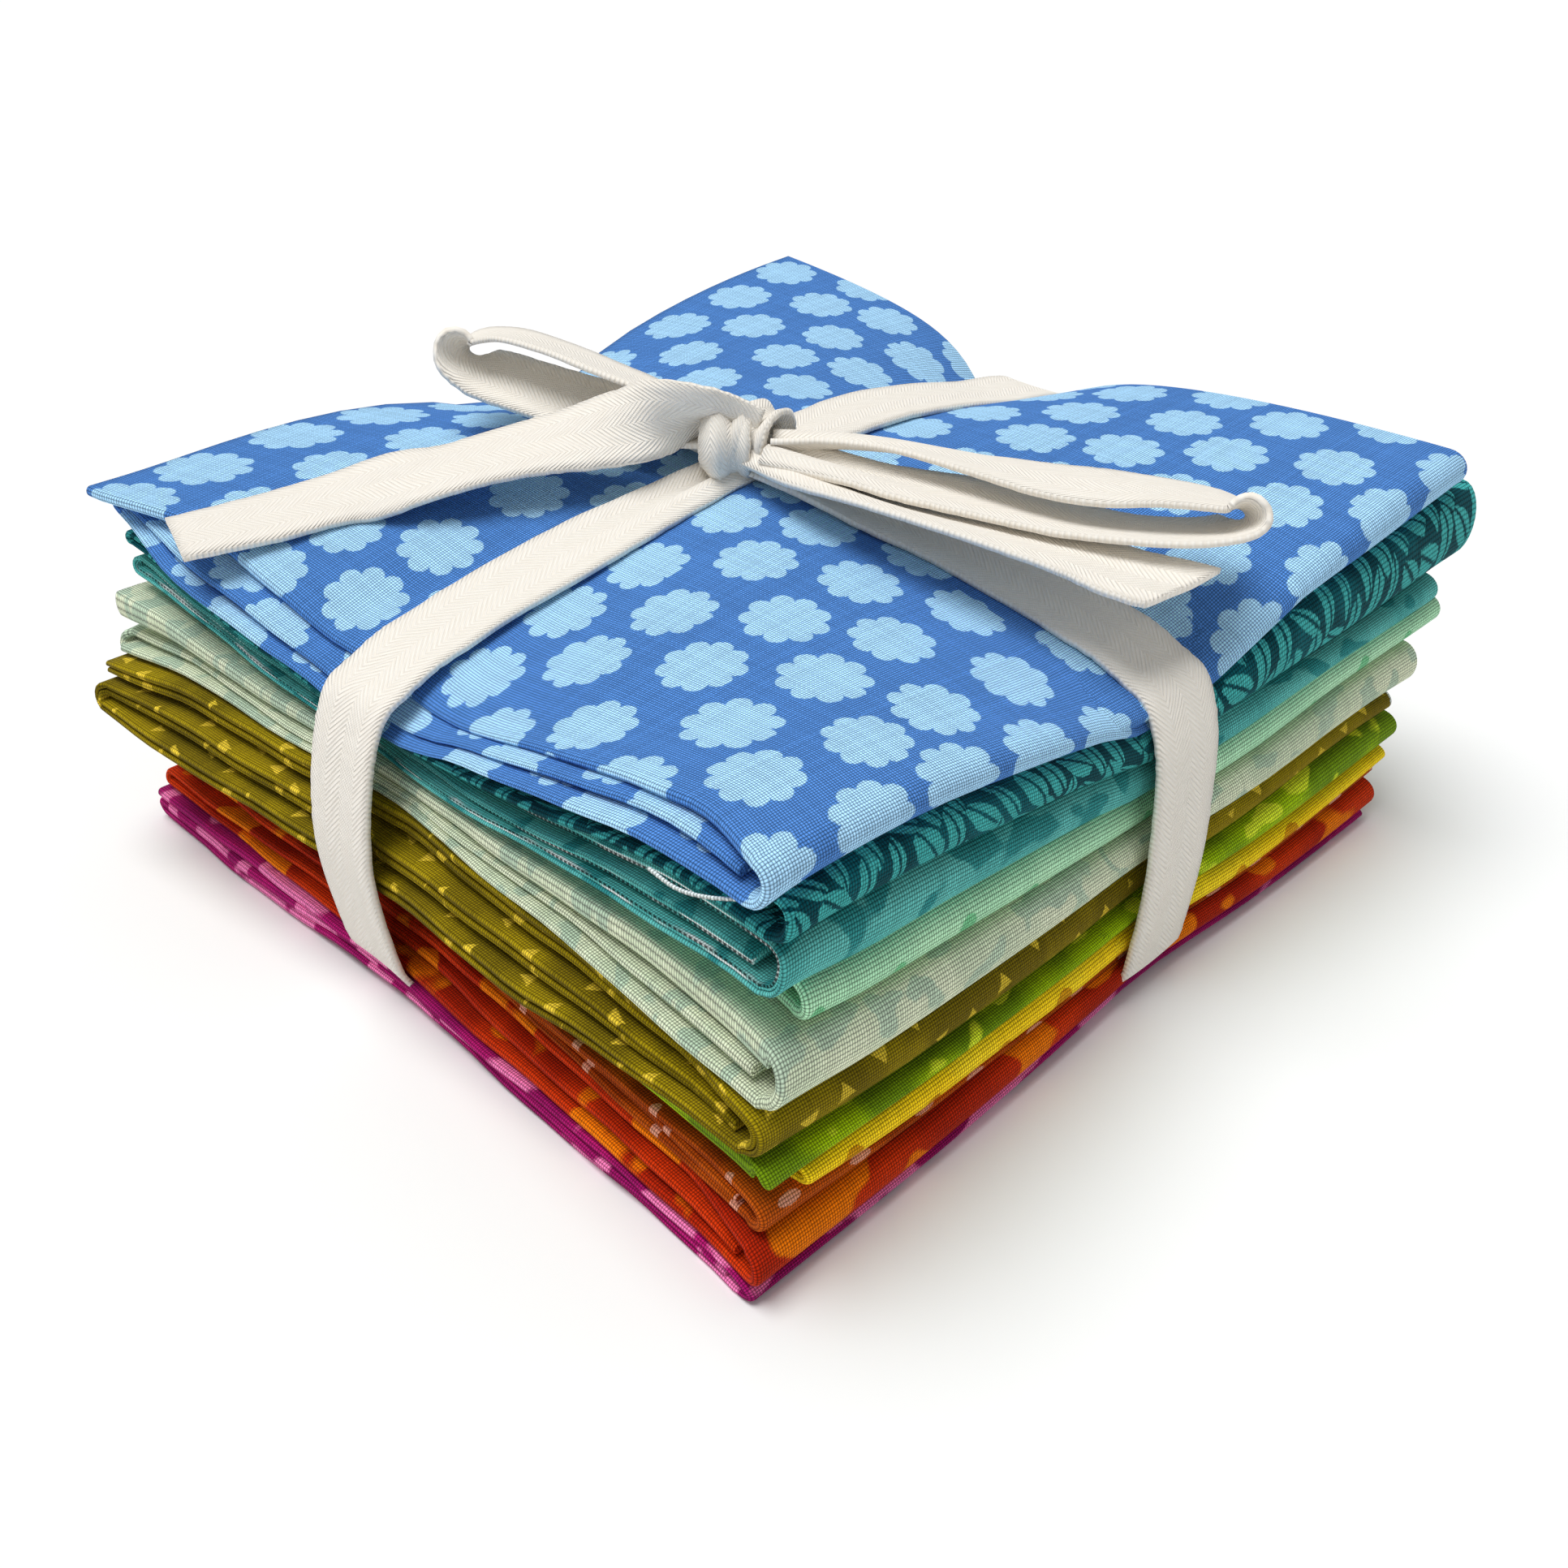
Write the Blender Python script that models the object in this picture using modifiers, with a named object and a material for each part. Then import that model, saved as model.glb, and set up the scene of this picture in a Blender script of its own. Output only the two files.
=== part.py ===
"""Eleven folded fat quarters stacked and tied crosswise with one length of cotton tape."""
from collections import namedtuple
from math import cos, pi, sin

import bmesh
import bpy
from mathutils import Vector

# Units: every size below is in millimetres
MM = 0.001

# Stack
STACK_HEIGHT = 60.2
PACKET_GAP = 0.44

# Pull of the tape on the stack, at stations across it
STATIONS = (-70.0, -54.0, -18.0, -1.0, 14.0, 31.0, 60.0, 70.0)
LANE_SHARES = (0.0, 0.0, 0.42, 1.0, 1.0, 0.42, 0.0, 0.0)
RIM_SHARES = (1.0, 0.55, 0.06, 0.0, 0.0, 0.14, 0.72, 1.0)
INNER_STATIONS = STATIONS[1:-1]
LANE_CENTRE = 6.5
DIP_LEFT = 14.0
DIP_RIGHT = 10.0
DIP_FRONT = 14.0
DIP_BACK = 9.5
LIFT_LEFT = 4.0
LIFT_RIGHT = 3.0
LIFT_FRONT = 3.2
LIFT_BACK = 3.0
TAPE_HOLLOW = 1.6
SIDE_PINCH = 3.0
FOLD_PINCH = 3.4
PAD_HEIGHT = -0.16

# Rise of the four corners of the top
RISE_FRONT_LEFT = 0.6
RISE_BACK_LEFT = -2.4
RISE_FRONT_RIGHT = 1.0
RISE_BACK_RIGHT = 1.8

# Folds
OUTER_FOLD_DEPTH = 2.6
OUTER_FOLD_STEPS = 5
INNER_FOLD_STEPS = 3
INNER_SETBACK = 3.4
FREE_EDGE_SETBACK = 1.2

# Tape
TAPE_WIDTH = 13.0
TAPE_THICKNESS = 1.0
TAPE_CLEARANCE = 0.34
CROSSING_STEP = 0.15
KNOT_PLACE = (-3.0, 2.0, 65.0)
KNOT_RADII = (6.0, 5.2, 3.8)
GATHERED_WIDTH = 7.0
GATHER_LENGTH = 30.0
SLANT_LENGTH = 36.0
FOOT_CENTRE = 4.0
FOOT_LENGTH = 40.0

Packet = namedtuple(
    "Packet",
    "name layers cloth height left_front left_back right_front right_back front back colour rough",
)

# Packets from the bottom of the stack to the top; reach of each side in millimetres
PACKETS = (
    Packet("magenta", 2, 1.2, 4.4, -70.5, -71.5, 67.0, 69.0, -70.5, 69.5, (0.40, 0.012, 0.14), 0.9),
    Packet("red_orange", 3, 1.0, 5.8, -71.0, -72.0, 67.5, 69.5, -71.0, 68.5, (0.55, 0.045, 0.008), 0.9),
    Packet("orange_brown", 2, 1.2, 4.4, -67.5, -69.5, 68.5, 70.0, -69.5, 68.0, (0.40, 0.095, 0.012), 0.9),
    Packet("yellow", 2, 1.2, 4.4, -63.0, -67.5, 69.0, 70.0, -70.5, 67.5, (0.80, 0.50, 0.01), 0.9),
    Packet("lime", 2, 1.2, 4.4, -69.0, -69.5, 70.5, 68.5, -71.0, 68.0, (0.24, 0.42, 0.008), 0.9),
    Packet("olive", 4, 1.0, 7.4, -69.0, -77.5, 69.0, 67.0, -70.0, 68.5, (0.16, 0.13, 0.006), 0.9),
    Packet("sage", 3, 1.05, 6.2, -67.0, -72.5, 72.0, 70.5, -71.2, 69.0, (0.55, 0.66, 0.49), 0.9),
    Packet("mint", 2, 1.3, 4.8, -61.0, -66.0, 76.5, 75.5, -70.0, 68.5, (0.36, 0.66, 0.40), 0.9),
    Packet("mid_teal", 3, 1.05, 6.4, -64.5, -67.5, 74.0, 73.0, -70.8, 67.5, (0.07, 0.33, 0.34), 0.9),
    Packet("deep_teal", 3, 1.0, 5.8, -65.5, -67.5, 77.3, 75.5, -71.2, 67.5, (0.01, 0.10, 0.13), 0.9),
    Packet("blue", 3, 1.05, 6.2, -67.5, -67.5, 74.5, 74.0, -70.2, 70.5, (0.07, 0.18, 0.55), 0.9),
)

# Tape down the four sides, from the top edge to the foot: how far out it hangs, and its height
LEG_LEFT = (
    (63.6, 50.2), (66.9, 48.2), (69.0, 42.0), (71.4, 33.0), (72.6, 23.0), (71.2, 11.0), (69.7, 5.0), (66.6, 3.3),
)
LEG_RIGHT = (
    (68.6, 52.6), (73.4, 50.4), (75.4, 44.5), (75.0, 34.0), (72.4, 22.0), (70.4, 11.0), (69.6, 5.0), (66.2, 3.0),
)
LEG_FRONT = (
    (63.0, 50.7), (67.4, 48.7), (69.9, 42.6), (70.9, 33.0), (71.2, 22.0), (70.2, 10.0), (69.2, 4.8), (65.8, 3.1),
)
LEG_BACK = (
    (64.2, 53.6), (68.6, 51.8), (70.0, 45.0), (70.0, 33.0), (70.0, 22.0), (69.6, 10.0), (69.0, 4.2), (65.4, 2.5),
)

Stop = namedtuple("Stop", "x y z lean_x lean_y lean_z width")

# Bow: centre line of each ribbon, the direction across it and its width
LOOP_LEFT = (
    Stop(-4.0, 4.0, 65.0, 0.93, 0.21, 0.31, 6.5),
    Stop(-7.0, 15.0, 64.8, 0.96, 0.14, 0.24, 11.0),
    Stop(-9.5, 29.0, 64.8, 0.98, 0.15, 0.15, 12.8),
    Stop(-11.5, 42.0, 65.4, 0.96, 0.24, 0.12, 12.8),
    Stop(-12.5, 49.5, 66.4, 0.95, 0.29, 0.11, 12.8),
    Stop(-12.4, 52.4, 68.4, 0.94, 0.33, 0.0, 12.8),
    Stop(-11.2, 50.0, 70.2, 0.90, 0.36, -0.23, 12.8),
    Stop(-8.0, 40.0, 70.8, 0.85, 0.38, -0.38, 12.8),
    Stop(-5.4, 27.0, 69.8, 0.86, 0.34, -0.39, 12.5),
    Stop(-3.2, 13.0, 67.6, 0.94, 0.28, -0.19, 10.0),
    Stop(-2.5, 4.5, 66.0, 0.95, 0.21, 0.21, 6.5),
)
LOOP_RIGHT = (
    Stop(-1.5, 0.0, 64.6, 0.81, 0.51, 0.30, 6.0),
    Stop(2.5, -9.5, 64.6, 0.94, 0.30, 0.20, 10.0),
    Stop(5.0, -24.0, 64.2, 0.95, 0.30, 0.10, 12.5),
    Stop(7.5, -39.0, 63.9, 0.97, 0.25, 0.05, 12.8),
    Stop(12.5, -51.5, 63.8, 0.90, 0.42, -0.11, 12.8),
    Stop(18.0, -60.5, 64.0, 0.71, 0.60, -0.38, 12.8),
    Stop(22.5, -64.0, 64.8, 0.63, 0.61, -0.47, 12.8),
    Stop(24.9, -62.0, 66.4, 0.63, 0.61, -0.47, 12.8),
    Stop(23.0, -54.5, 67.6, 0.72, 0.61, -0.33, 12.8),
    Stop(18.5, -44.0, 67.6, 0.84, 0.53, -0.11, 12.8),
    Stop(12.5, -29.0, 67.2, 0.66, 0.53, -0.53, 12.0),
    Stop(5.5, -11.5, 66.6, 0.68, 0.57, -0.46, 9.0),
    Stop(0.0, -1.0, 65.8, 0.79, 0.57, 0.23, 6.0),
)
TAIL_LEFT = (
    Stop(-4.0, 3.0, 66.0, 0.48, 0.29, 0.83, 6.0),
    Stop(-8.5, 9.0, 66.8, 0.39, 0.29, 0.87, 9.5),
    Stop(-15.0, 18.5, 65.4, 0.30, 0.60, 0.74, 12.4),
    Stop(-26.0, 28.5, 63.3, 0.15, 0.93, 0.34, 12.8),
    Stop(-42.0, 34.5, 61.9, 0.05, 0.99, 0.15, 12.8),
    Stop(-58.0, 37.8, 61.0, 0.10, 0.99, 0.05, 12.8),
    Stop(-71.3, 42.0, 60.2, 0.68, 0.73, 0.03, 12.1),
)
TAIL_RIGHT = (
    Stop(-3.5, 0.0, 63.8, 0.93, 0.31, 0.21, 6.0),
    Stop(-3.6, -10.0, 63.2, 0.95, 0.30, 0.10, 9.5),
    Stop(-2.0, -27.0, 62.5, 0.95, 0.30, 0.10, 11.8),
    Stop(2.0, -47.0, 61.9, 0.97, 0.24, 0.05, 12.8),
    Stop(8.0, -65.2, 61.0, 0.96, -0.28, 0.0, 12.4),
)
TAPE_COLOUR = (0.84, 0.77, 0.66)


def side_value(value, low_side, high_side):
    """The figure for the side that a place lies on."""
    return low_side if value < 0.0 else high_side


def top_height(column, row):
    """Height of the top of the stack at a station."""
    dip_x = side_value(STATIONS[column], DIP_LEFT, DIP_RIGHT)
    dip_y = side_value(STATIONS[row], DIP_FRONT, DIP_BACK)
    dip = dip_x * LANE_SHARES[row] * RIM_SHARES[column]
    dip += dip_y * LANE_SHARES[column] * RIM_SHARES[row]
    front_rise = side_value(STATIONS[column], RISE_FRONT_LEFT, RISE_FRONT_RIGHT)
    back_rise = side_value(STATIONS[column], RISE_BACK_LEFT, RISE_BACK_RIGHT)
    rise = side_value(STATIONS[row], front_rise, back_rise)
    return STACK_HEIGHT - dip + rise * RIM_SHARES[column] * RIM_SHARES[row]


def bottom_height(column, row):
    """Height of the underside of the stack at a station."""
    lift_x = side_value(STATIONS[column], LIFT_LEFT, LIFT_RIGHT)
    lift_y = side_value(STATIONS[row], LIFT_FRONT, LIFT_BACK)
    lift = lift_x * LANE_SHARES[row] * RIM_SHARES[column]
    lift += lift_y * LANE_SHARES[column] * RIM_SHARES[row]
    hollow = 1.0 - (1.0 - LANE_SHARES[column]) * (1.0 - LANE_SHARES[row])
    return PAD_HEIGHT + TAPE_HOLLOW * hollow + lift


def station_shares(value):
    """The two stations around a place and the share of each."""
    last = len(STATIONS) - 2
    index = 0
    while index < last and value > STATIONS[index + 1]:
        index += 1
    low = STATIONS[index]
    share = (value - low) / (STATIONS[index + 1] - low)
    return ((index, 1.0 - share), (index + 1, share))


def stack_height(part, x, y):
    """Height in the stack at a share of its depth, straight between stations."""
    total = 0.0
    for column, share_x in station_shares(x):
        for row, share_y in station_shares(y):
            low = bottom_height(column, row)
            high = top_height(column, row)
            total += share_x * share_y * (low + (high - low) * part)
    return total


def lane_share(value):
    """How much a place lies in the lane pressed by the tape, from 0 to 1."""
    total = sum(share * LANE_SHARES[index] for index, share in station_shares(value))
    return max(0.0, total)


def side_reach(front_end, back_end, y):
    """Reach of a left or right edge at a place along it."""
    share = (y - STATIONS[0]) / (STATIONS[-1] - STATIONS[0])
    reach = front_end + (back_end - front_end) * share
    pinch = SIDE_PINCH * lane_share(y)
    return reach - pinch if reach > 0.0 else reach + pinch


def fold_reach(end, x):
    """Reach of a front or back fold at a place along it."""
    pinch = FOLD_PINCH * lane_share(x)
    return end - pinch if end > 0.0 else end + pinch


def run_stops(level, forwards, front_setback, back_setback):
    """Stops of one layer from fold to fold, as side, setback and level."""
    stops = [("front", front_setback, level)]
    for station in INNER_STATIONS:
        stops.append(("station", station, level))
    stops.append(("back", back_setback, level))
    return stops if forwards else stops[::-1]


def turn_stops(side, setback, depth, first, last, steps):
    """Stops around one fold between two levels."""
    middle = (first + last) / 2.0
    half = (first - last) / 2.0
    stops = []
    for step in range(1, steps):
        angle = pi / 2.0 - pi * step / steps
        stops.append((side, setback + depth * (1.0 - cos(angle)), middle + half * sin(angle)))
    return stops


def fold_stops(packet):
    """Stops along the folded section: top layer, outer fold, bottom layer, then the inner layers."""
    top = packet.layers - 1
    gap = (packet.height - PACKET_GAP - packet.cloth) / top
    small = gap * 0.45
    stops = run_stops(top, False, OUTER_FOLD_DEPTH, FREE_EDGE_SETBACK)
    stops += turn_stops("front", 0.0, OUTER_FOLD_DEPTH, top, 0, OUTER_FOLD_STEPS)
    if packet.layers == 2:
        return stops + run_stops(0, True, OUTER_FOLD_DEPTH, 0.0)
    stops += run_stops(0, True, OUTER_FOLD_DEPTH, small)
    stops += turn_stops("back", 0.0, small, 0, 1, INNER_FOLD_STEPS)
    if packet.layers == 3:
        return stops + run_stops(1, False, INNER_SETBACK, small)
    stops += run_stops(1, False, INNER_SETBACK + small, small)
    stops += turn_stops("front", INNER_SETBACK, small, 1, 2, INNER_FOLD_STEPS)
    return stops + run_stops(2, True, INNER_SETBACK + small, FREE_EDGE_SETBACK)


def place_stop(packet, stop, x, base, share):
    """Point of the cloth's middle at one stop of the section."""
    side, amount, level = stop
    if side == "front":
        y = fold_reach(packet.front, x) + amount
    elif side == "back":
        y = fold_reach(packet.back, x) - amount
    else:
        y = amount
    margin = (PACKET_GAP + packet.cloth) / 2.0
    low = stack_height(base, x, y) + margin
    high = stack_height(base + share, x, y) - margin
    return y, low + (high - low) * level / (packet.layers - 1)


def split_quads(mesh):
    """Split every face along the same diagonal, so that stacked layers stay apart."""
    for face in list(mesh.faces):
        corners = sorted(face.verts, key=lambda vert: vert.co.x + vert.co.y)
        first = corners[0]
        last = corners[-1]
        linked = any(edge.other_vert(first) is last for edge in first.link_edges)
        if len(face.verts) == 4 and not linked:
            bmesh.utils.face_split(face, first, last)


def cloth_material(name, colour, rough):
    """Plain woven cotton finish."""
    material = bpy.data.materials.new(name)
    material.use_nodes = True
    shader = material.node_tree.nodes["Principled BSDF"]
    shader.inputs["Base Color"].default_value = (*colour, 1.0)
    shader.inputs["Roughness"].default_value = rough
    shader.inputs["Metallic"].default_value = 0.0
    material.diffuse_color = (*colour, 1.0)
    return material


def add_object(name, mesh, collection, material):
    """Turn a mesh into a named object with one material."""
    bmesh.ops.recalc_face_normals(mesh, faces=mesh.faces[:])
    data = bpy.data.meshes.new(name)
    mesh.to_mesh(data)
    mesh.free()
    data.materials.append(material)
    piece = bpy.data.objects.new(name, data)
    collection.objects.link(piece)
    return piece


def add_thickness(piece, thickness):
    """Give a sheet its thickness, half on each side."""
    solid = piece.modifiers.new("Cloth", "SOLIDIFY")
    solid.thickness = thickness * MM
    solid.offset = 0.0
    solid.use_even_offset = True
    solid.use_quality_normals = True
    return solid


def build_packet(packet, base, share, collection):
    """One fat quarter folded back and forth, with its fold at the front."""
    stops = fold_stops(packet)
    columns = len(STATIONS)
    mesh = bmesh.new()
    bmesh.ops.create_grid(mesh, x_segments=len(stops) - 1, y_segments=columns - 1, size=1.0)
    for vert in mesh.verts:
        row = round((vert.co.x + 1.0) / 2.0 * (len(stops) - 1))
        column = round((vert.co.y + 1.0) / 2.0 * (columns - 1))
        x = STATIONS[column]
        y, z = place_stop(packet, stops[row], x, base, share)
        if column == 0:
            x = side_reach(packet.left_front, packet.left_back, y)
        elif column == columns - 1:
            x = side_reach(packet.right_front, packet.right_back, y)
        y, z = place_stop(packet, stops[row], x, base, share)
        vert.co = Vector((x, y, z)) * MM
    split_quads(mesh)
    finish = cloth_material("cotton_" + packet.name, packet.colour, packet.rough)
    piece = add_object("fat_quarter_" + packet.name, mesh, collection, finish)
    add_thickness(piece, packet.cloth)
    return piece


def gathered(value, knot_value, knot_centre):
    """Middle and width of the tape across its run, drawn in towards the knot."""
    distance = abs(value - knot_value)
    slant = min(1.0, distance / SLANT_LENGTH)
    spread = min(1.0, distance / GATHER_LENGTH)
    centre = knot_centre + (LANE_CENTRE - knot_centre) * slant
    return centre, GATHERED_WIDTH + (TAPE_WIDTH - GATHERED_WIDTH) * spread


def half_ring(leg, sign, height_at, raise_foot, knot_value, knot_centre):
    """Tape from the middle of the top, down one side, to the middle of the foot."""
    lift = TAPE_CLEARANCE + TAPE_THICKNESS / 2.0
    inner = sorted((value for value in INNER_STATIONS if value * sign > 0.0), key=abs)
    points = []
    for value in inner:
        centre, width = gathered(value, knot_value, knot_centre)
        points.append((value, height_at(value) + lift, centre, width))
    for reach, height in leg:
        points.append((sign * reach, height, LANE_CENTRE, TAPE_WIDTH))
    for value in reversed(inner):
        centre = FOOT_CENTRE if abs(value) < FOOT_LENGTH else LANE_CENTRE
        points.append((value, TAPE_THICKNESS / 2.0 + raise_foot, centre, TAPE_WIDTH))
    return points


def ring_points(near_leg, far_leg, height_at, raise_foot, knot_value, knot_centre):
    """Closed run of one tape ring around the stack: reach, height, middle and width."""
    far = half_ring(far_leg, 1.0, height_at, raise_foot, knot_value, knot_centre)
    near = half_ring(near_leg, -1.0, height_at, raise_foot, knot_value, knot_centre)
    return far + near[::-1]


def ring_mesh(points, along_x):
    """Flat tape taken around the stack on a closed run."""
    mesh = bmesh.new()
    for edge_sign in (-0.5, 0.5):
        loop = bmesh.ops.create_circle(mesh, segments=len(points), radius=1.0, cap_ends=False)
        for vert, (reach, height, centre, width) in zip(loop["verts"], points):
            across = centre + edge_sign * width
            place = (reach, across, height) if along_x else (across, reach, height)
            vert.co = Vector(place) * MM
    bmesh.ops.bridge_loops(mesh, edges=mesh.edges[:])
    return mesh


def ribbon_mesh(stops):
    """Flat ribbon that follows its stops, two edges wide."""
    mesh = bmesh.new()
    count = len(stops) - 1
    bmesh.ops.create_grid(mesh, x_segments=count, y_segments=1, size=1.0)
    for vert in mesh.verts:
        stop = stops[round((vert.co.x + 1.0) / 2.0 * count)]
        lean = Vector((stop.lean_x, stop.lean_y, stop.lean_z)).normalized()
        centre = Vector((stop.x, stop.y, stop.z))
        vert.co = (centre + lean * vert.co.y * stop.width / 2.0) * MM
    bmesh.ops.triangulate(mesh, faces=mesh.faces[:])
    return mesh


def build_tie(parts, cutters):
    """Tape once around the stack each way, knotted on top in a bow with two tails."""
    finish = cloth_material("cotton_tape", TAPE_COLOUR, 0.85)
    ring_x = ring_points(
        LEG_LEFT,
        LEG_RIGHT,
        lambda value: stack_height(1.0, value, LANE_CENTRE),
        0.0,
        KNOT_PLACE[0],
        KNOT_PLACE[1],
    )
    ring_y = ring_points(
        LEG_FRONT,
        LEG_BACK,
        lambda value: stack_height(1.0, LANE_CENTRE, value) + CROSSING_STEP,
        CROSSING_STEP,
        KNOT_PLACE[1],
        KNOT_PLACE[0],
    )
    tie = add_object("tie_tape", ring_mesh(ring_x, True), parts, finish)
    add_thickness(tie, TAPE_THICKNESS)
    added = [add_object("tie_ring_y", ring_mesh(ring_y, False), cutters, finish)]
    for name, stops in (
        ("tie_loop_left", LOOP_LEFT),
        ("tie_loop_right", LOOP_RIGHT),
        ("tie_tail_left", TAIL_LEFT),
        ("tie_tail_right", TAIL_RIGHT),
    ):
        added.append(add_object(name, ribbon_mesh(stops), cutters, finish))
    for piece in added:
        add_thickness(piece, TAPE_THICKNESS)
    knot = bmesh.new()
    bmesh.ops.create_uvsphere(knot, u_segments=12, v_segments=8, radius=MM)
    bmesh.ops.scale(knot, vec=KNOT_RADII, verts=knot.verts[:])
    bmesh.ops.translate(knot, vec=Vector(KNOT_PLACE) * MM, verts=knot.verts[:])
    added.append(add_object("tie_knot", knot, cutters, finish))
    for piece in added:
        piece.hide_render = True
        piece.display_type = "WIRE"
        joint = tie.modifiers.new("Join", "BOOLEAN")
        joint.operation = "UNION"
        joint.solver = "EXACT"
        joint.use_self = True
        joint.object = piece
    return tie


def clear_scene():
    """Remove every object and mesh."""
    for item in list(bpy.data.objects):
        bpy.data.objects.remove(item)
    for data in list(bpy.data.meshes):
        bpy.data.meshes.remove(data)


def main():
    """Build the packets from the bottom up, then the tie."""
    clear_scene()
    parts = bpy.data.collections.new("fat_quarter_bundle")
    cutters = bpy.data.collections.new("cutters")
    bpy.context.scene.collection.children.link(parts)
    bpy.context.scene.collection.children.link(cutters)
    total = sum(packet.height for packet in PACKETS)
    base = 0.0
    for packet in PACKETS:
        share = packet.height / total
        build_packet(packet, base, share, parts)
        base += share
    build_tie(parts, cutters)


main()
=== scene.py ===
"""Looks of a tied fat quarter bundle: eleven folded printed cottons and a cotton tape in a bow."""

import logging
import math
from dataclasses import dataclass, field
from enum import Enum

import bmesh
import bpy
import numpy as np
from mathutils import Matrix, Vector


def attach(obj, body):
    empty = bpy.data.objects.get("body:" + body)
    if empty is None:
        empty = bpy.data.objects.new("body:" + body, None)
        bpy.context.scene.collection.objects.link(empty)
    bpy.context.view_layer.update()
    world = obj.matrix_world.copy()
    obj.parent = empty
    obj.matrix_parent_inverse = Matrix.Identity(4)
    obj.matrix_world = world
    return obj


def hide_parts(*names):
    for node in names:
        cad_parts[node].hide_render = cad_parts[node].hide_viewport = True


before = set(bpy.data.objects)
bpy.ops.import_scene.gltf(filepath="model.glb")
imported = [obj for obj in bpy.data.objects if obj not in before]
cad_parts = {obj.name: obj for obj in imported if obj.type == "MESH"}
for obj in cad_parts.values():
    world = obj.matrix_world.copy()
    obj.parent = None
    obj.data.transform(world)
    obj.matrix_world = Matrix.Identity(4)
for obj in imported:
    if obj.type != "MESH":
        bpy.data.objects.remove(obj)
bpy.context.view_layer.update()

LOG = logging.getLogger("fat_quarter_bundle")
MM = 0.001
TURN = 2.0 * math.pi
GAPE_START = 42.0
STATIONS = (0.0, 0.12, 0.45, 0.85, 1.0)
LEVEL_EDGE = (0.0, 0.0, 0.0, 0.0, 0.0)

Array = np.ndarray
Colour = tuple[float, float, float]
Row = tuple[float, ...]


def linear(red: int, green: int, blue: int) -> Colour:
    """Turn an 8-bit display colour into the linear one that a shader takes.

    Args:
        red: Red share, 0 to 255.
        green: Green share, 0 to 255.
        blue: Blue share, 0 to 255.

    Returns:
        The linear colour.
    """
    shares = (red / 255.0, green / 255.0, blue / 255.0)
    return tuple(s / 12.92 if s <= 0.04045 else ((s + 0.055) / 1.055) ** 2.4 for s in shares)


def smooth_table(places: Array, knots: Row, values: Row) -> Array:
    """Read a table with soft steps between its entries.

    Args:
        places: Where to read it.
        knots: Rising places of the entries.
        values: The entries.

    Returns:
        The value at each place, held at both ends.
    """
    index = np.clip(np.searchsorted(knots, places) - 1, 0, len(knots) - 2)
    low = np.asarray(knots)[index]
    high = np.asarray(knots)[index + 1]
    share = np.clip((places - low) / (high - low), 0.0, 1.0)
    share = share * share * (3.0 - 2.0 * share)
    first = np.asarray(values)[index]
    return first + (np.asarray(values)[index + 1] - first) * share


def spline(stops: Array, steps: int) -> Array:
    """Pass a smooth curve through a list of stops.

    Args:
        stops: One row of figures per stop.
        steps: Points for each stretch between two stops.

    Returns:
        One row per point of the curve.
    """
    ends = np.vstack([2.0 * stops[0] - stops[1], stops, 2.0 * stops[-1] - stops[-2]])
    rows = []
    for index in range(1, len(ends) - 2):
        before, start, stop, after = ends[index - 1:index + 3]
        for step in range(steps):
            t = step / steps
            bend = (2.0 * before - 5.0 * start + 4.0 * stop - after) * t * t
            twist = (3.0 * start - before - 3.0 * stop + after) * t ** 3
            rows.append(0.5 * (2.0 * start + (stop - before) * t + bend + twist))
    rows.append(ends[-2])
    return np.array(rows)


class PrintKind(Enum):
    """Motifs printed on the cottons."""

    BLOSSOM = "blossom"
    LEAF = "leaf"
    BLOTCH = "blotch"
    DOT = "dot"
    FLECK = "fleck"
    DASH = "dash"


class FoldKind(Enum):
    """How the four plies of a layer are folded along its left and right sides."""

    NESTED = "nested"
    ZIGZAG = "zigzag"
    OPEN = "open"


@dataclass(frozen=True)
class RimTable:
    """Heights of the packets' meeting lines along one side of the stack, in millimetres."""

    places: Row
    levels: tuple[Row, ...]

    def dense(self) -> Array:
        """Fine rows of place and heights, one height for each meeting line."""
        stops = np.column_stack([np.array(self.places), np.array(self.levels).T])
        return spline(stops, 8)

    def read(self, place: Array, rank: Array) -> Array:
        """Read the height of a level on this side.

        Args:
            place: Millimetres along the side.
            rank: Packets below the level, with the share of its own packet.

        Returns:
            The height.
        """
        rows = self.dense()
        stop = np.interp(place, rows[:, 0], np.arange(len(rows)))
        row = np.clip(stop.astype(int), 0, len(rows) - 2)
        line = np.clip(np.floor(rank).astype(int), 0, len(self.levels) - 2)
        near, rise = stop - row, rank - line
        heights = rows[:, 1:]
        low = heights[row, line] * (1.0 - near) + heights[row + 1, line] * near
        high = heights[row, line + 1] * (1.0 - near) + heights[row + 1, line + 1] * near
        return low + (high - low) * rise


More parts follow.
